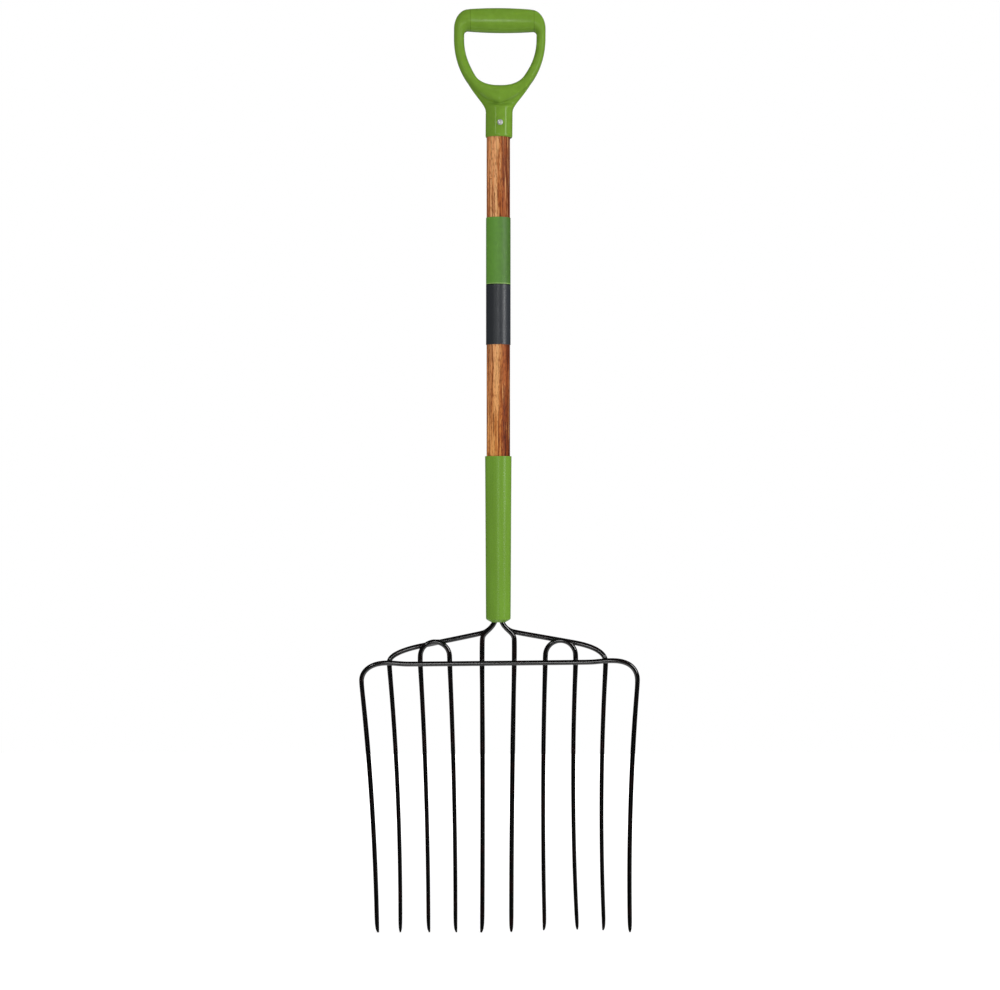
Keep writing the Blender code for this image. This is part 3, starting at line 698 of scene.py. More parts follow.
@dataclass(frozen=True)
class VarnishedTimber:
    """Hardwood, pale sapwood on one side and red-brown heartwood on the other, under a thin varnish.

    half is half the shaft's width, and tones are its colours from the left side to the right one; the
    darker first tone is partly painted shade along the left edge. bands and figure push these to and fro
    by straying. streaks are the darker ones, each with its weight. The timber is warmer below warm_from,
    fully so at warm_to.
    """

    half: float
    tones: tuple[tuple[float, Colour], ...] = (
        # painted shade: this first, darker tone stands partly for the shade along the left edge
        (0.00, linear(176, 104, 54)),
        (0.14, linear(228, 151, 93)),
        (0.36, linear(240, 181, 125)),
        (0.52, linear(192, 122, 66)),
        (0.66, linear(172, 94, 42)),
        (0.84, linear(140, 68, 26)),
        (1.00, linear(112, 46, 10)),
    )
    bands: Pattern = grain(110.0, 6.0, 0.30, 0.70)
    figure: Pattern = grain(260.0, 14.0, 0.30, 0.70)
    straying: float = 0.12
    cream: Colour = linear(232, 180, 120)
    lights: Pattern = grain(350.0, 12.0, 0.52, 0.64)
    lights_weight: float = 0.60
    warmth: Colour = (1.05, 0.95, 0.64, 1.0)
    warm_from: float = -0.40
    warm_to: float = -0.56
    shade: Colour = (0.40, 0.26, 0.17, 1.0)
    streaks: tuple[tuple[Pattern, float], ...] = (
        (grain(420.0, 15.0, 0.50, 0.60), 0.80),
        (grain(600.0, 150.0, 0.50, 0.62), 0.60),
    )
    fibres: Pattern = grain(1100.0, 14.0, 0.30, 0.72)
    fibres_weight: float = 0.25
    fibres_height: float = 0.5
    pores: Pattern = grain(1900.0, 40.0, 0.60, 0.72)
    pores_weight: float = 0.5
    roughness: tuple[float, float] = (0.58, 0.46)
    varnish: Pattern = Clouds(120.0, 3.0, 0.20, 0.80)
    varnish_weight: tuple[float, float] = (0.02, 0.07)
    relief: Relief = Relief(0.00010)

    def ramp(self, surface: Surface, share: NodeSocket) -> NodeSocket:
        """The timber's tone at a share of its way from left to right.

        Args:
            surface: The material in the making.
            share: The share's socket.

        Returns:
            The tone's socket.
        """
        node = surface.add("ShaderNodeValToRGB", {"Fac": share})
        stops = node.color_ramp.elements
        stops[0].color, stops[1].color = self.tones[0][1], self.tones[-1][1]
        for position, colour in self.tones[1:-1]:
            stops.new(position).color = colour
        return node.outputs["Color"]

    def make(self) -> Material:
        """Build the material.

        Returns:
            The material.
        """
        surface = Surface("varnished_timber_grain", Specular_IOR_Level=0.15, Coat_Roughness=0.35)
        split = surface.split(surface.place())
        share = surface.between(split["X"], -self.half, self.half, fade=Fade.EVEN)
        for pattern in (self.bands, self.figure):
            push = surface.spread(pattern.mask(surface), (-self.straying, self.straying), Fade.EVEN)
            share = surface.math("ADD", share, push)
        light = surface.math("MULTIPLY", self.lights.mask(surface), self.lights_weight)
        colour = surface.mix(light, self.ramp(surface, share), self.cream)
        warm = surface.between(split["Z"], self.warm_from, self.warm_to, fade=Fade.EVEN)
        colour = surface.mix(warm, colour, self.warmth, "MULTIPLY")
        fibres, pores = self.fibres.mask(surface), self.pores.mask(surface)
        darker = [(pattern.mask(surface), weight) for pattern, weight in self.streaks]
        for mask, weight in darker + [(fibres, self.fibres_weight), (pores, self.pores_weight)]:
            colour = surface.mix(surface.math("MULTIPLY", mask, weight), colour, self.shade, "MULTIPLY")
        coat = surface.spread(self.varnish.mask(surface), self.varnish_weight)
        rough = surface.spread(fibres, self.roughness)
        surface.wear({"Base Color": colour, "Roughness": rough, "Coat Weight": coat})
        raised = surface.math("MULTIPLY", fibres, self.fibres_height)
        self.relief.wire(surface, height=surface.math("SUBTRACT", raised, pores))
        return surface.material


@dataclass(frozen=True)
class PrintedLabel:
    """A printed sheet round the shaft: green above a thin light and a thin dark rule, charcoal below.

    fold is the level at which the rules meet. The green is deeper on the right, and the charcoal a little
    lighter and bluer there, a painted sheen: fade says from where to where in X, and how much at the end.
    """

    fold: float = -0.3345
    light_rule: float = 0.0011
    dark_rule: float = 0.0016
    green: Colour = linear(94, 152, 40)
    green_deep: Colour = linear(64, 108, 28)
    charcoal: Colour = linear(45, 48, 52)
    # painted sheen: a little lighter and bluer than the charcoal, for its right side
    charcoal_sheen: Colour = linear(48, 52, 58)
    pale: Colour = linear(132, 172, 84)
    ink: Colour = linear(28, 40, 26)
    fade: tuple[float, float] = (0.014, -0.010)
    fade_weight: float = 0.8
    patches: Pattern = Clouds(180.0, 5.0, 0.25, 0.75)
    patches_weight: float = 0.2
    roughness: tuple[float, float] = (0.34, 0.50)
    roughness_run: float = 0.001
    rub: Pattern = Streaks(500.0, 60.0, low=0.30, high=0.70)
    rub_weight: float = 0.08
    fibre: Relief = Relief(0.00004, 1.0, Clouds(1500.0, 4.0, 0.25, 0.75))

    def make(self) -> Material:
        """Build the material.

        Returns:
            The material.
        """
        surface = Surface("printed_label_sheet", Specular_IOR_Level=0.6)
        split = surface.split(surface.place())
        height = split["Z"]
        patches = surface.math("MULTIPLY", self.patches.mask(surface), self.patches_weight)
        tone = surface.math("ADD", surface.between(split["X"], *self.fade, (0.0, self.fade_weight)), patches)
        # painted sheen: the charcoal turns lighter and bluer towards the right
        colour = surface.mix(tone, self.charcoal_sheen, self.charcoal)
        green = surface.mix(tone, self.green_deep, self.green)
        for rise, upper in ((-self.dark_rule, self.ink), (0.0, self.pale), (self.light_rule, green)):
            colour = surface.mix(surface.math("GREATER_THAN", height, self.fold + rise), colour, upper)
        printed = surface.between(height, self.fold - self.roughness_run, self.fold, self.roughness)
        rub = surface.math("MULTIPLY", self.rub.mask(surface), self.rub_weight)
        surface.wear({"Base Color": colour, "Roughness": surface.math("ADD", printed, rub)})
        self.fibre.wire(surface)
        return surface.material


@dataclass(frozen=True)
class PowderCoat:
    """Semi-gloss green powder coat over steel, with a fine orange peel and a grainy drawn-in end, whose grit
    is dotted with painted glints of lighter green.

    end is the level of the ferrule's end. The grit and its painted glints start at grainy_from above it and
    are full from grainy_full down.
    """

    end: float
    deep: Colour = linear(107, 147, 48)
    bright: Colour = linear(114, 158, 52)
    # painted glint: the lighter green that the grit near the end is coloured with
    grain_glint: Colour = linear(150, 196, 84)
    tone: Pattern = Streaks(120.0, 9.0, low=0.30, high=0.70)
    grains: Pattern = Specks(850.0, 0.55)
    grain_glint_weight: float = 0.65
    grainy_from: float = 0.0075
    grainy_full: float = 0.0035
    sheen: Pattern = Clouds(240.0, 4.0, 0.30, 0.70)
    roughness: tuple[float, float] = (0.22, 0.30)
    peel: Relief = Relief(0.00004, 1.0, Clouds(900.0, 2.0, 0.20, 0.80))
    grit: Relief = Relief(0.00022)

    def make(self) -> Material:
        """Build the material.

        Returns:
            The material.
        """
        surface = Surface("green_powder_coat", Specular_IOR_Level=0.20)
        height = surface.split(surface.place())["Z"]
        nose = surface.between(height, self.end + self.grainy_from, self.end + self.grainy_full)
        colour = surface.mix(self.tone.mask(surface), self.deep, self.bright)
        grains = surface.math("MULTIPLY", self.grains.mask(surface), nose)
        # painted glints: the grit near the end is coloured lighter green, besides its real bump below
        colour = surface.mix(surface.math("MULTIPLY", grains, self.grain_glint_weight), colour, self.grain_glint)
        rough = surface.spread(self.sheen.mask(surface), self.roughness)
        surface.wear({"Base Color": colour, "Roughness": rough})
        self.grit.wire(surface, self.peel.wire(surface), grains)
        return surface.material


@dataclass(frozen=True)
class BlackLacquer:
    """Thin black lacquer on drawn steel, brownish where it is thin, a little dusty.

    It is glossy above the level glossy_above and worn dull below worn_below.
    """

    name: str
    body: Colour = linear(5, 5, 5)
    thin: Colour = linear(20, 9, 8)
    patches: Pattern = Clouds(60.0, 5.0, 0.48, 0.70)
    dust: Pattern = Specks(620.0, 0.16)
    dust_colour: Colour = linear(60, 57, 56)
    dust_weight: float = 0.02
    sheen: Pattern = Clouds(210.0, 5.0, 0.30, 0.70)
    roughness: tuple[float, float] = (0.12, 0.20)
    glossy_above: float = -0.87
    worn_below: float = -0.97
    lumps: Relief = Relief(0.00005, 0.6, Clouds(260.0, 2.0, 0.20, 0.80))
    skin: Relief = Relief(0.00002, 1.0, Clouds(1700.0, 3.0, 0.20, 0.80))

    def make(self) -> Material:
        """Build the material.

        Returns:
            The material.
        """
        surface = Surface(self.name, Specular_IOR_Level=0.05, Coat_Roughness=0.14, Coat_IOR=1.8)
        colour = surface.mix(self.patches.mask(surface), self.body, self.thin)
        dust = surface.math("MULTIPLY", self.dust.mask(surface), self.dust_weight)
        colour = surface.mix(dust, colour, self.dust_colour)
        rough = surface.spread(self.sheen.mask(surface), self.roughness)
        coat = surface.between(surface.split(surface.place())["Z"], self.worn_below, self.glossy_above)
        surface.wear({"Base Color": colour, "Roughness": rough, "Coat Weight": coat})
        self.skin.wire(surface, self.lumps.wire(surface))
        return surface.material


@dataclass(frozen=True)
class BrightSteel:
    """Bright plated steel, faintly brushed."""

    plate: Colour = linear(214, 216, 214)
    dull: Colour = linear(150, 152, 150)
    tone: Pattern = Clouds(900.0, 4.0, 0.35, 0.75)
    roughness: tuple[float, float] = (0.30, 0.46)
    brushed: Relief = Relief(0.00003, 1.0, Streaks(5200.0, 700.0, detail=3.0, low=0.30, high=0.70))

    def make(self) -> Material:
        """Build the material.

        Returns:
            The material.
        """
        surface = Surface("bright_plated_steel", Metallic=0.4)
        tone = self.tone.mask(surface)
        colour = surface.mix(tone, self.plate, self.dull)
        surface.wear({"Base Color": colour, "Roughness": surface.spread(tone, self.roughness)})
        self.brushed.wire(surface)
        return surface.material


# The fork's sub-assemblies


@dataclass(frozen=True)
class Station:
    """One section of the hand ring: its outer and inner point in X and Z, half depth and roundness."""

    outer: Vector
    inner: Vector
    half_depth: float
    roundness: float

    def mirrored(self) -> "Station":
        """The same section on the other side of the grip."""
        outer, inner = (Vector((-point.x, point.y)) for point in (self.outer, self.inner))
        return Station(outer, inner, self.half_depth, self.roundness)

    def loop(self, sides: int) -> list[Vector]:
        """The section's points, in order round it.

        Args:
            sides: How many points to give.

        Returns:
            The points.
        """
        middle = (self.outer + self.inner) / 2
        reach = (self.outer - self.inner) / 2
        points = []
        for turn in turns(sides):
            across = middle + reach * squared(cos(turn), self.roundness)
            points.append(Vector((across.x, self.half_depth * squared(sin(turn), self.roundness), across.y)))
        return points


@dataclass
class Grip:
    """The moulded D-shaped grip and the rivet that holds it on the shaft.

    It is modelled upright about X = 0, and then set over by shift and leaned by lean about the rivet.
    """

    width: float = 0.1219
    shift: float = 0.0010
    lean: float = radians(0.45)
    bar_middle_height: float = 0.0328
    bar_end_height: float = 0.0297
    bar_end_rise: float = 0.0015
    bar_depth: float = 0.0288
    outer_corner_width: float = 0.0200
    outer_corner_height: float = 0.0260
    inner_corner_radius: float = 0.0040
    arm_width: float = 0.0129
    arm_depth: float = 0.0236
    arm_straight: float = 0.0127
    hole_height: float = 0.0706
    hole_shift: float = 0.0008
    hole_shift_run: float = 0.0300
    outer_arm_pull: float = 0.0303
    outer_foot_pull: float = 0.0482
    outer_foot_rise: float = 0.0176
    outer_crowding: float = 1.3
    inner_arm_pull: float = 0.0167
    hip_out: float = 0.0327
    hip_drop: float = 0.0570
    hip_slope: float = radians(32)
    hip_upper_pull: float = 0.0222
    hip_lower_pull: float = 0.0110
    inner_foot_pull: float = 0.0157
    foot_width: float = 0.0267
    foot_depth: float = 0.0345
    bar_roundness: float = 2.1
    arm_roundness: float = 2.3
    foot_roundness: float = 4.0
    flare_height: float = 0.0085
    flare_join: float = 0.485
    flare_lap: float = 0.0008
    flare_depth: float = 0.0196
    flare_flat_drop: float = 0.0229
    flare_socket_pull: float = 0.0121
    flare_arm_pull: float = 0.0378
    flare_roundness: float = 2.6
    socket_length: float = 0.0341
    socket_radius: float = 0.0179
    socket_bore_radius: float = 0.0159
    socket_bore_depth: float = 0.0395
    lip_width: float = 0.0013
    lip_height: float = 0.0036
    rivet_rise: float = 0.0185
    rivet_turn: float = radians(8)
    rivet_hole_radius: float = 0.00255
    step_height: float = 0.00022
    step_width: float = 0.0008
    step_fade: float = 3.0
    ring_sides: int = 64
    bar_steps: int = 6
    corner_steps: int = 14
    arm_steps: int = 40
    line_fineness: int = 4
    flare_steps: int = 28
    lip_steps: int = 8
    drill_sides: int = 64
    drill_overrun: float = 0.002
    rivet_drill: float = 0.0716
    voxel: float = 0.00073
    smoothing: int = 6
    rivet_refining: Refining = Refining(levels=3, swell=0.00005)

    def __post_init__(self) -> None:
        """Work out the levels that the sizes give."""
        self.bar_top = self.bar_end_rise + self.bar_end_height
        self.arm_top = self.bar_top - self.outer_corner_height - self.arm_straight
        self.foot = -self.hole_height - self.foot_width
        self.socket_top = self.foot - self.flare_height
        self.socket_end = self.socket_top - self.socket_length
        self.bore_top = self.socket_end + self.socket_bore_depth
        self.flare_flat = -self.hole_height - self.flare_flat_drop
        self.rivet_level = self.socket_end + self.rivet_rise

    def arm_lines(self, steps: int) -> list[tuple[Vector, Vector]]:
        """Matching points down the outer and inner line of the right arm, to the ring's foot.

        Args:
            steps: How many points each line has.

        Returns:
            Pairs of an outer and an inner point.
        """
        fine = self.line_fineness * steps
        side = self.width / 2
        outer_top, outer_foot = Vector((side, self.arm_top)), Vector((0, self.foot))
        foot_pull = Vector((self.outer_foot_pull, self.foot + self.outer_foot_rise))
        outer = bezier(outer_top, outer_top - Vector((0, self.outer_arm_pull)), foot_pull, outer_foot, fine)
        top = Vector((side - self.arm_width, self.arm_top))
        hip = Vector((self.hip_out, -self.hip_drop))
        down = Vector((-sin(self.hip_slope), -cos(self.hip_slope)))
        top_pull = top - Vector((0, self.inner_arm_pull))
        inner = bezier(top, top_pull, hip - down * self.hip_upper_pull, hip, fine)
        foot, foot_pull = (Vector((out, -self.hole_height)) for out in (0, self.inner_foot_pull))
        inner += bezier(hip, hip + down * self.hip_lower_pull, foot_pull, foot, fine)[1:]
        return list(zip(evenly(outer, steps, self.outer_crowding), evenly(inner, steps)))

    def bar_station(self, share: float) -> Station:
        """A section of the bar, which is barrel shaped.

        Args:
            share: How far out it is, from 0 at the middle to 1 at the bar's end.

        Returns:
            The section.
        """
        reach = (self.width / 2 - self.outer_corner_width) * share
        bulge = 1 - share**2
        top = self.bar_top + (self.bar_middle_height - self.bar_top) * bulge
        under = self.bar_end_rise * (1 - bulge)
        return Station(Vector((reach, top)), Vector((reach, under)), self.bar_depth / 2, self.bar_roundness)

    def corner_stations(self) -> list[Station]:
        """Sections round the corner from the bar to the arm, which starts with a low step.

        Returns:
            The sections, from the bar on.
        """
        side = self.width / 2
        outer_centre = Vector((side - self.outer_corner_width, self.bar_top - self.outer_corner_height))
        inner_centre = Vector((side - self.arm_width - self.inner_corner_radius,
                               self.bar_end_rise - self.inner_corner_radius))
        stations = []
        for i in range(self.corner_steps + 1):
            share = i / self.corner_steps
            way = Vector((sin(pi / 2 * share), cos(pi / 2 * share)))
            low = self.step_height * (1 - ease(self.step_fade * share))
            outer = outer_centre + Vector((way.x * self.outer_corner_width, way.y * self.outer_corner_height))
            inner = inner_centre + way * self.inner_corner_radius
            depth = self.bar_depth + (self.arm_depth - self.bar_depth) * share
            roundness = self.bar_roundness + (self.arm_roundness - self.bar_roundness) * share
            stations.append(Station(outer - way * low, inner + way * low, depth / 2 - low, roundness))
        return stations

    def arm_stations(self) -> list[Station]:
        """Sections down the arm, after the one that ends the corner, to the ring's foot.

        Returns:
            The sections, from the top down.
        """
        stations = []
        for i, (outer, inner) in enumerate(self.arm_lines(self.arm_steps)):
            share = (i / (self.arm_steps - 1)) ** 2
            depth = self.arm_depth + (self.foot_depth - self.arm_depth) * share
            roundness = self.arm_roundness + (self.foot_roundness - self.arm_roundness) * share
            stations.append(Station(outer, inner, depth / 2, roundness))
        return stations[1:]

    def hole_point(self, inner: Vector) -> Vector:
        """A place on the hand hole's edge, moved by as much as the hole is off the grip's middle."""
        off = self.hole_shift * ease((inner.y + self.hole_height) / self.hole_shift_run)
        return Vector((inner.x + off, inner.y))

    def ring(self) -> Object:
        """Model the hand ring: a barrel-shaped bar, two corners and two arms that meet at its foot.

        Returns:
            The ring.
        """
        right = [self.bar_station(i / self.bar_steps) for i in range(self.bar_steps)]
        right.append(self.bar_station(1 - self.step_width / (self.width / 2 - self.outer_corner_width)))
        right += self.corner_stations() + self.arm_stations()
        left = [station.mirrored() for station in reversed(right[1:-1])]
        ring = [replace(station, inner=self.hole_point(station.inner)) for station in right + left]
        return skin("hand_ring", [station.loop(self.ring_sides) for station in ring], closed=True)

    def flare_line(self) -> list[Vector]:
        """Draw the right outline of socket and flare, from the lip's end up to the arm.

        Returns:
            The outline's points.
        """
        lines = self.arm_lines(2 * self.arm_steps)
        join = round(self.flare_join * (len(lines) - 1))
        outer, inner = lines[join]
        tangent = (lines[join + 1][0] - lines[join - 1][0]).normalized()
        arm = outer + (inner - outer).normalized() * self.flare_lap
        start = Vector((self.socket_radius, self.socket_top))
        pull = start + Vector((0, self.flare_socket_pull))
        line = bezier(start, pull, arm + tangent * self.flare_arm_pull, arm, self.flare_steps)
        inside = self.socket_radius - self.lip_width
        for i in range(self.lip_steps + 1):
            turn = pi / 2 * (1 - i / self.lip_steps)
            line.insert(0, Vector((inside + self.lip_width * sin(turn),
                                   self.socket_end + self.lip_height * (1 - cos(turn)))))
        return line

    def flare(self) -> Object:
        """Model the flattened flare that carries the ring, and the round socket that it runs down into.

        Returns:
            Flare and socket as one piece.
        """
        loops = []
        for point in self.flare_line():
            flat = ease((point.y - self.bore_top) / (self.flare_flat - self.bore_top))
            half_depth = min(point.x, self.socket_radius) * (1 - flat) + self.flare_depth / 2 * flat
            roundness = ELLIPSE + (self.flare_roundness - ELLIPSE) * flat
            loop = []
            for turn in turns(self.ring_sides):
                x, y = (squared(size, roundness) for size in (cos(turn), sin(turn)))
                loop.append(Vector((point.x * x, half_depth * y, point.y)))
            loops.append(loop)
        return skin("flare", loops)

    def hole_filler(self) -> Object:
        """Model what keeps the flare out of the hand hole: its outline, grown to the ring's middle.

        Returns:
            The filler.
        """
        half = [(outer + inner) / 2 for outer, inner in self.arm_lines(self.arm_steps)]
        outline = half + [Vector((-point.x, point.y)) for point in reversed(half[:-1])]
        ends = (-self.bar_depth, self.bar_depth)
        return skin("hole_filler", [[Vector((point.x, y, point.y)) for point in outline] for y in ends])

    def drill(self, piece: Object, radius: float, place: Matrix, depth: float) -> None:
        """Cut a round hole.

        Args:
            piece: The piece to cut.
            radius: The hole's radius.
            place: Where its middle is and how it lies; it runs along its own Z.
            depth: How long the cutter is.
        """
        deselect_all()
        bpy.ops.mesh.primitive_cylinder_add(vertices=self.drill_sides, radius=radius, depth=depth)
        cutter = bpy.context.active_object
        cutter.data.transform(place)
        combine(piece, "DIFFERENCE", cutter)

    def build(self, plastic: Material, steel: Material) -> None:
        """Model the grip and its rivet and dress them.

        Args:
            plastic: The grip's material.
            steel: The rivet's material.
        """
        grip = self.ring()
        flare = self.flare()
        combine(flare, "DIFFERENCE", self.hole_filler())
        combine(grip, "UNION", flare)
        level = Matrix.Translation((0, 0, self.rivet_level))
        leaned = level @ Matrix.Rotation(self.lean, 4, "Y") @ level.inverted()
        grip.data.transform(Matrix.Translation((self.shift, 0, 0)) @ leaned)
        length = self.socket_bore_depth + self.drill_overrun
        bore = Matrix.Translation((0, 0, self.bore_top - length / 2))
        self.drill(grip, self.socket_bore_radius, bore, length)
        across = level @ Matrix.Rotation(self.rivet_turn, 4, "Z") @ Matrix.Rotation(pi / 2, 4, "X")
        self.drill(grip, self.rivet_hole_radius, across, self.rivet_drill)
        remesh(grip, self.voxel, self.smoothing)
        grip.name = grip.data.name = "moulded_grip"
        finish_piece(grip, plastic, "d_grip", sharp=radians(70))
        rivet = self.rivet_refining.copy("grip_rivet", "socket_rivet")
        finish_piece(rivet, steel, "grip_rivet", sharp=radians(60))


@dataclass
class Shaft:
    """The timber shaft and the label round it."""

    sides: int = 96
    chamfer: float = 0.0015
    narrowing: float = 0.0011
    label_sides: int = 128
    label_gap: float = 0.00010
    label_edge: float = 0.00012

    def build(self, timber: Material, label: Material) -> None:
        """Model the shaft and its label and dress them.

        Args:
            timber: The shaft's material.
            label: The label's material.
        """
        low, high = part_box("timber_shaft")
        _, ferrule_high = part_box("ferrule")
        radius = high.x
        end_radius = radius - self.narrowing
        profile = [(radius - self.chamfer, high.z), (radius, high.z - self.chamfer), (radius, ferrule_high.z),
                   (end_radius, low.z + self.chamfer), (end_radius - self.chamfer, low.z)]
        shaft = turned("round_shaft", profile, self.sides)
        finish_piece(shaft, timber, "timber_shaft")
        low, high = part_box("label_sleeve")
        inner = radius + self.label_gap
        edge = self.label_edge
        profile = [(inner, low.z), (high.x - edge, low.z), (high.x, low.z + edge), (high.x, high.z - edge),
                   (high.x - edge, high.z), (inner, high.z)]
        sleeve = turned("wrapped_label", profile, self.label_sides, closed=True)
        finish_piece(sleeve, label, "label_sleeve")


@dataclass
class Ferrule:
    """The tapered steel ferrule and the pin at its back."""

    tube: Refining = Refining(swell=0.0, crease=radians(50))
    pin: Refining = Refining(swell=0.00003)

    def build(self, paint: Material) -> None:
        """Refine the ferrule and its pin and dress them.

        Args:
            paint: Their material.
        """
        finish_piece(self.tube.copy("ferrule", "tapered_ferrule"), paint, "ferrule")
        pin = self.pin.copy("ferrule_pin", "driven_pin")
        finish_piece(pin, paint, "ferrule_pin", sharp=radians(60))


@dataclass
class Head:
    """The welded head: seven bent rods that carry the ten tines, and the beads between them."""

    rods: Sequence[str] = ("centre_rod", "shoulder_rod", "hoop_rod")
    beads: Sequence[str] = ("neck", "crown", "centre", "hoop_inner", "hoop_outer", "shoulder")
    stout_rods: tuple[str, ...] = ("crossbar_rod", "centre_rod")
    refining: Refining = Refining()
    stout_refining: Refining = Refining(stout=0.00030)
    bead_refining: Refining = Refining(levels=1, swell=0.00035, crease=pi)
    bead_voxel: float = 0.00030
    lump_size: float = 0.0022
    lump_height: float = 0.00045
    lump_smoothing: int = 2

    def rod(self, node: str) -> Object:
        """The fine rod that stands for a CAD rod."""
        refining = self.stout_refining if node.endswith(self.stout_rods) else self.refining
        return refining.copy(node, "bent_" + node)

    def bead(self, node: str, name: str) -> Object:
        """Turn a plain bead into a lumpy one that wets the rods on both sides.

        Args:
            node: The CAD bead's name.
            name: The new bead's name.

        Returns:
            The lumpy bead.
        """
        bead = self.bead_refining.copy(node, name)
        remesh(bead, self.bead_voxel)
        lumps = bpy.data.textures.new(name + "_lumps", "CLOUDS")
        lumps.noise_scale = self.lump_size
        apply_modifier(bead, "DISPLACE", texture=lumps, strength=self.lump_height, mid_level=0.5)
        apply_modifier(bead, "SMOOTH", factor=SOFTENING, iterations=self.lump_smoothing)
        return bead

    def build(self, lacquer: Material, weld: Material) -> None:
        """Refine the rods, roughen the beads and dress them.

        Args:
            lacquer: The rods' material.
            weld: The beads' material.
        """
        for node in ["crossbar_rod"] + [f"{side.value}_{rod}" for side in Side for rod in self.rods]:
            finish_piece(self.rod(node), lacquer, node)
        for place in [f"{side.value}_{bead}" for side in Side for bead in self.beads]:
            node = "weld_" + place
            finish_piece(self.bead(node, "bead_" + place), weld, node, sharp=radians(80))


# The studio


@dataclass
class Lamp:
    """A soft light panel.

    azimuth is the direction in degrees that it stands in, from the front to the right, height the level
    of its middle, distance how far from the shaft's axis it stands, size its width and height, aim the
    level of the place on the axis that it faces, and grid the angle in degrees that its grid leaves open.
    """

    name: str
    azimuth: float
    height: float
    distance: float
    size: tuple[float, float]
    watts: float
    aim: float
    grid: float = 180.0

    def put_up(self) -> None:
        """Add the lamp to the scene."""
        data = bpy.data.lights.new(self.name, "AREA")
        data.shape = "RECTANGLE"
        data.size, data.size_y = self.size
        data.energy = self.watts
        data.spread = radians(self.grid)
        lamp = put(self.name, data)
        turn = radians(self.azimuth)
        lamp.location = (self.distance * sin(turn), -self.distance * cos(turn), self.height)
        way = Vector((0, 0, self.aim)) - lamp.location
        lamp.rotation_euler = way.to_track_quat("-Z", "Y").to_euler()


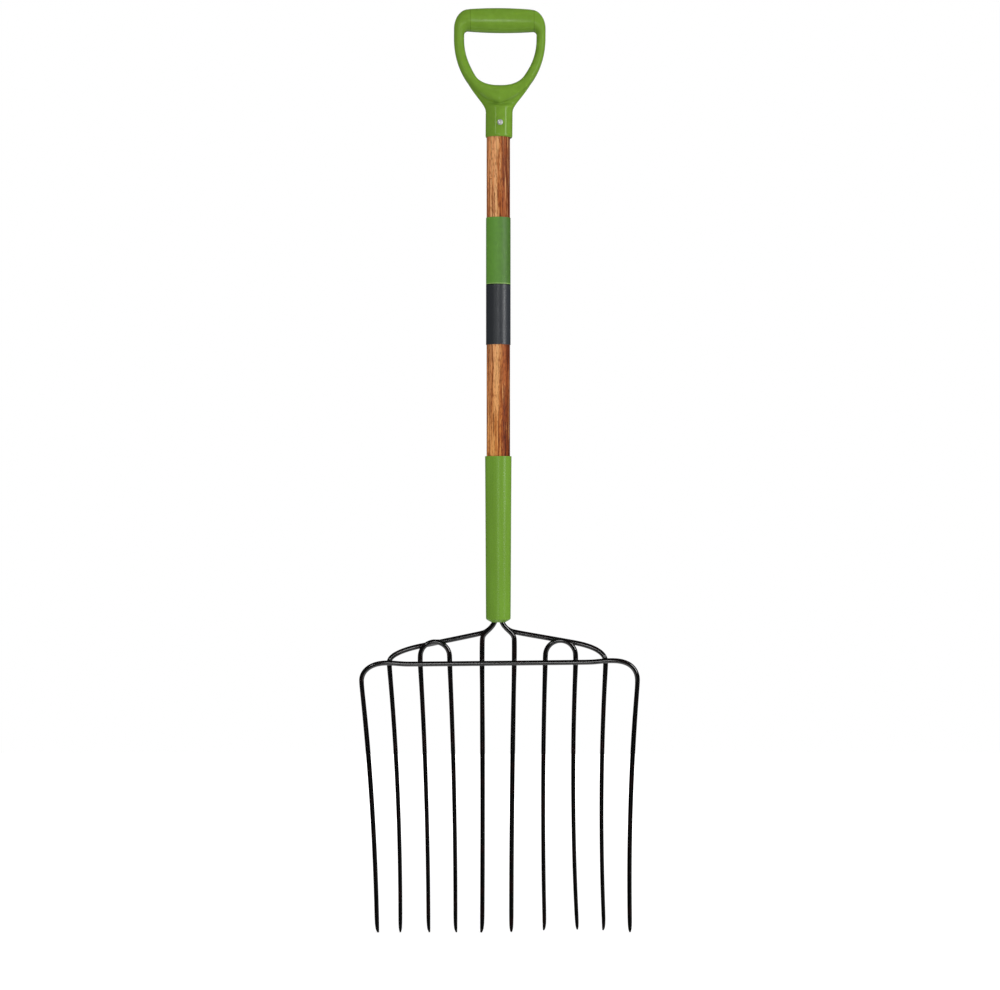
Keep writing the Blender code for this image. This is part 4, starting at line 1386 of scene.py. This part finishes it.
@dataclass
class Studio:
    """The camera, the lights, the white surround and the pale floor.

    pixel is what a pixel of the photograph measures at the shaft, and middle the pixel in which the
    model's origin lies. The floor lies floor_gap under the fork, and in the picture it turns from pale
    to white between glow_near and glow_far from the origin.
    """

    pixel: float = 0.00133
    picture: tuple[int, int] = (1000, 990)
    middle: tuple[float, float] = (498.3, 33.0)
    distance: float = 3.0
    sensor: float = 36.0
    surround: float = 0.66
    behind_from: float = 0.85
    front_gloss: float = 0.02
    back_gloss: float = 0.25
    floor_size: float = 2.4
    floor_front: float = -0.40
    floor_gap: float = 0.0004
    floor_tones: tuple[float, float] = (0.86, 0.90)
    floor_patches: Pattern = Clouds(3.0, 4.0, 0.30, 0.70)
    floor_rough: float = 0.9
    floor_glow: float = 0.45
    glow_near: float = 1.22
    glow_far: float = 1.6
    floor_gloss: float = 0.12
    lamps: Sequence[Lamp] = (
        Lamp("right_strip", 58, 0.04, 2.4, (0.55, 1.52), 24, 0.0),
        Lamp("left_strip", -31, 0.30, 2.5, (0.13, 0.6), 3.2, -0.1),
        Lamp("top_strip", -7.1, 0.88, 2.5, (0.57, 0.30), 1.0, 0.0),
        Lamp("bar_light", -0.955, 0.02, 3.6, (0.08, 0.30), 0.018, 0.02, grid=10),
        Lamp("front_panel", 0, -0.58, 3.6, (0.24, 0.44), 1.2, -0.6),
        Lamp("front_left_panel", -3.9, -0.45, 3.6, (0.25, 1.3), 6.2, -0.45),
        Lamp("front_right_panel", 3.9, -0.45, 3.6, (0.25, 1.3), 6.2, -0.45),
    )

    def camera(self) -> None:
        """Set the camera level and square to the front of the fork, as the photograph has it."""
        data = bpy.data.cameras.new("photo_camera")
        data.sensor_width = self.sensor
        data.lens = self.sensor * self.distance / (self.picture[0] * self.pixel)
        camera = put("photo_camera", data)
        right, down = ((size / 2 - at) * self.pixel for size, at in zip(self.picture, self.middle))
        camera.location = (right, -self.distance, -down)
        camera.rotation_euler = (pi / 2, 0, 0)
        bpy.context.scene.camera = camera

    @staticmethod
    def rays(wiring: Wiring) -> tuple[NodeSocket, NodeSocket]:
        """Tell apart what a ray is for.

        Args:
            wiring: The wiring of a material or world.

        Returns:
            Whether it is seen, straight or through glass, and whether it makes a gloss.
        """
        rays = wiring.add("ShaderNodeLightPath").outputs
        seen = wiring.math("MAXIMUM", rays["Is Camera Ray"], rays["Is Transmission Ray"])
        return seen, rays["Is Glossy Ray"]

    def world(self) -> None:
        """Surround the fork with white to the eye, softer white light and a dim front in its gloss."""
        world = bpy.data.worlds.new("white_surround")
        world.use_nodes = True
        bpy.context.scene.world = world
        wiring = Wiring(world.node_tree)
        seen, glossy = self.rays(wiring)
        way = wiring.split(wiring.add("ShaderNodeTexCoord").outputs["Generated"])["Y"]
        behind = wiring.between(way, self.behind_from, 1.0, (self.front_gloss, self.back_gloss))
        gloss = wiring.math("MULTIPLY", glossy, behind)
        matt = wiring.math("MULTIPLY", wiring.inverse(glossy), self.surround)
        strength = wiring.math("MAXIMUM", seen, wiring.math("ADD", gloss, matt))
        wiring.feed(world.node_tree.nodes["Background"], {"Color": WHITE, "Strength": strength})

    def floor_finish(self) -> Material:
        """Build the material of a pale floor that shows white in the light and keeps soft shadows.

        Returns:
            The material.
        """
        surface = Surface("pale_floor", Specular_IOR_Level=0.1, Roughness=self.floor_rough)
        greys = ((tone, tone, tone, 1.0) for tone in self.floor_tones)
        colour = surface.mix(self.floor_patches.mask(surface), *greys)
        seen, glossy = self.rays(surface)
        gloss = surface.math("MULTIPLY", glossy, self.floor_gloss)
        reach = surface.add("ShaderNodeVectorMath", {0: surface.place()}, operation="LENGTH").outputs["Value"]
        glow = surface.between(reach, self.glow_near, self.glow_far, (self.floor_glow, 1.0))
        strength = surface.math("ADD", surface.math("MULTIPLY", seen, glow), gloss)
        surface.wear({"Base Color": colour, "Emission Color": WHITE, "Emission Strength": strength})
        return surface.material

    def floor(self, level: float) -> None:
        """Lay the pale floor.

        Args:
            level: Its height.
        """
        deselect_all()
        place = (0, self.floor_front + self.floor_size / 2, level)
        bpy.ops.mesh.primitive_plane_add(size=self.floor_size, location=place)
        floor = bpy.context.active_object
        floor.name = floor.data.name = "studio_floor"
        bpy.ops.object.transform_apply(location=True, rotation=True, scale=True)
        floor.data.materials.append(self.floor_finish())

    def set_up(self) -> None:
        """Put up the whole studio."""
        self.camera()
        self.world()
        self.floor(CAD_BOX[0][2] - self.floor_gap)
        for lamp in self.lamps:
            lamp.put_up()
        bpy.context.scene.view_settings.view_transform = "Standard"


def main() -> None:
    """Dress the fork from its grip down to its tines and set up the studio."""
    logging.basicConfig(level=logging.INFO, format="%(name)s: %(message)s")
    Studio().set_up()
    Grip().build(MouldedPlastic().make(), BrightSteel().make())
    _, shaft_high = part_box("timber_shaft")
    Shaft().build(VarnishedTimber(shaft_high.x).make(), PrintedLabel().make())
    ferrule_low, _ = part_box("ferrule")
    Ferrule().build(PowderCoat(ferrule_low.z).make())
    weld_lumps = Relief(0.0004, 0.8, Clouds(900.0, 2.0, 0.20, 0.80))
    weld = BlackLacquer("lacquered_weld", roughness=(0.26, 0.44), lumps=weld_lumps)
    Head().build(BlackLacquer("black_lacquer").make(), weld.make())


if __name__ == "__main__":
    main()
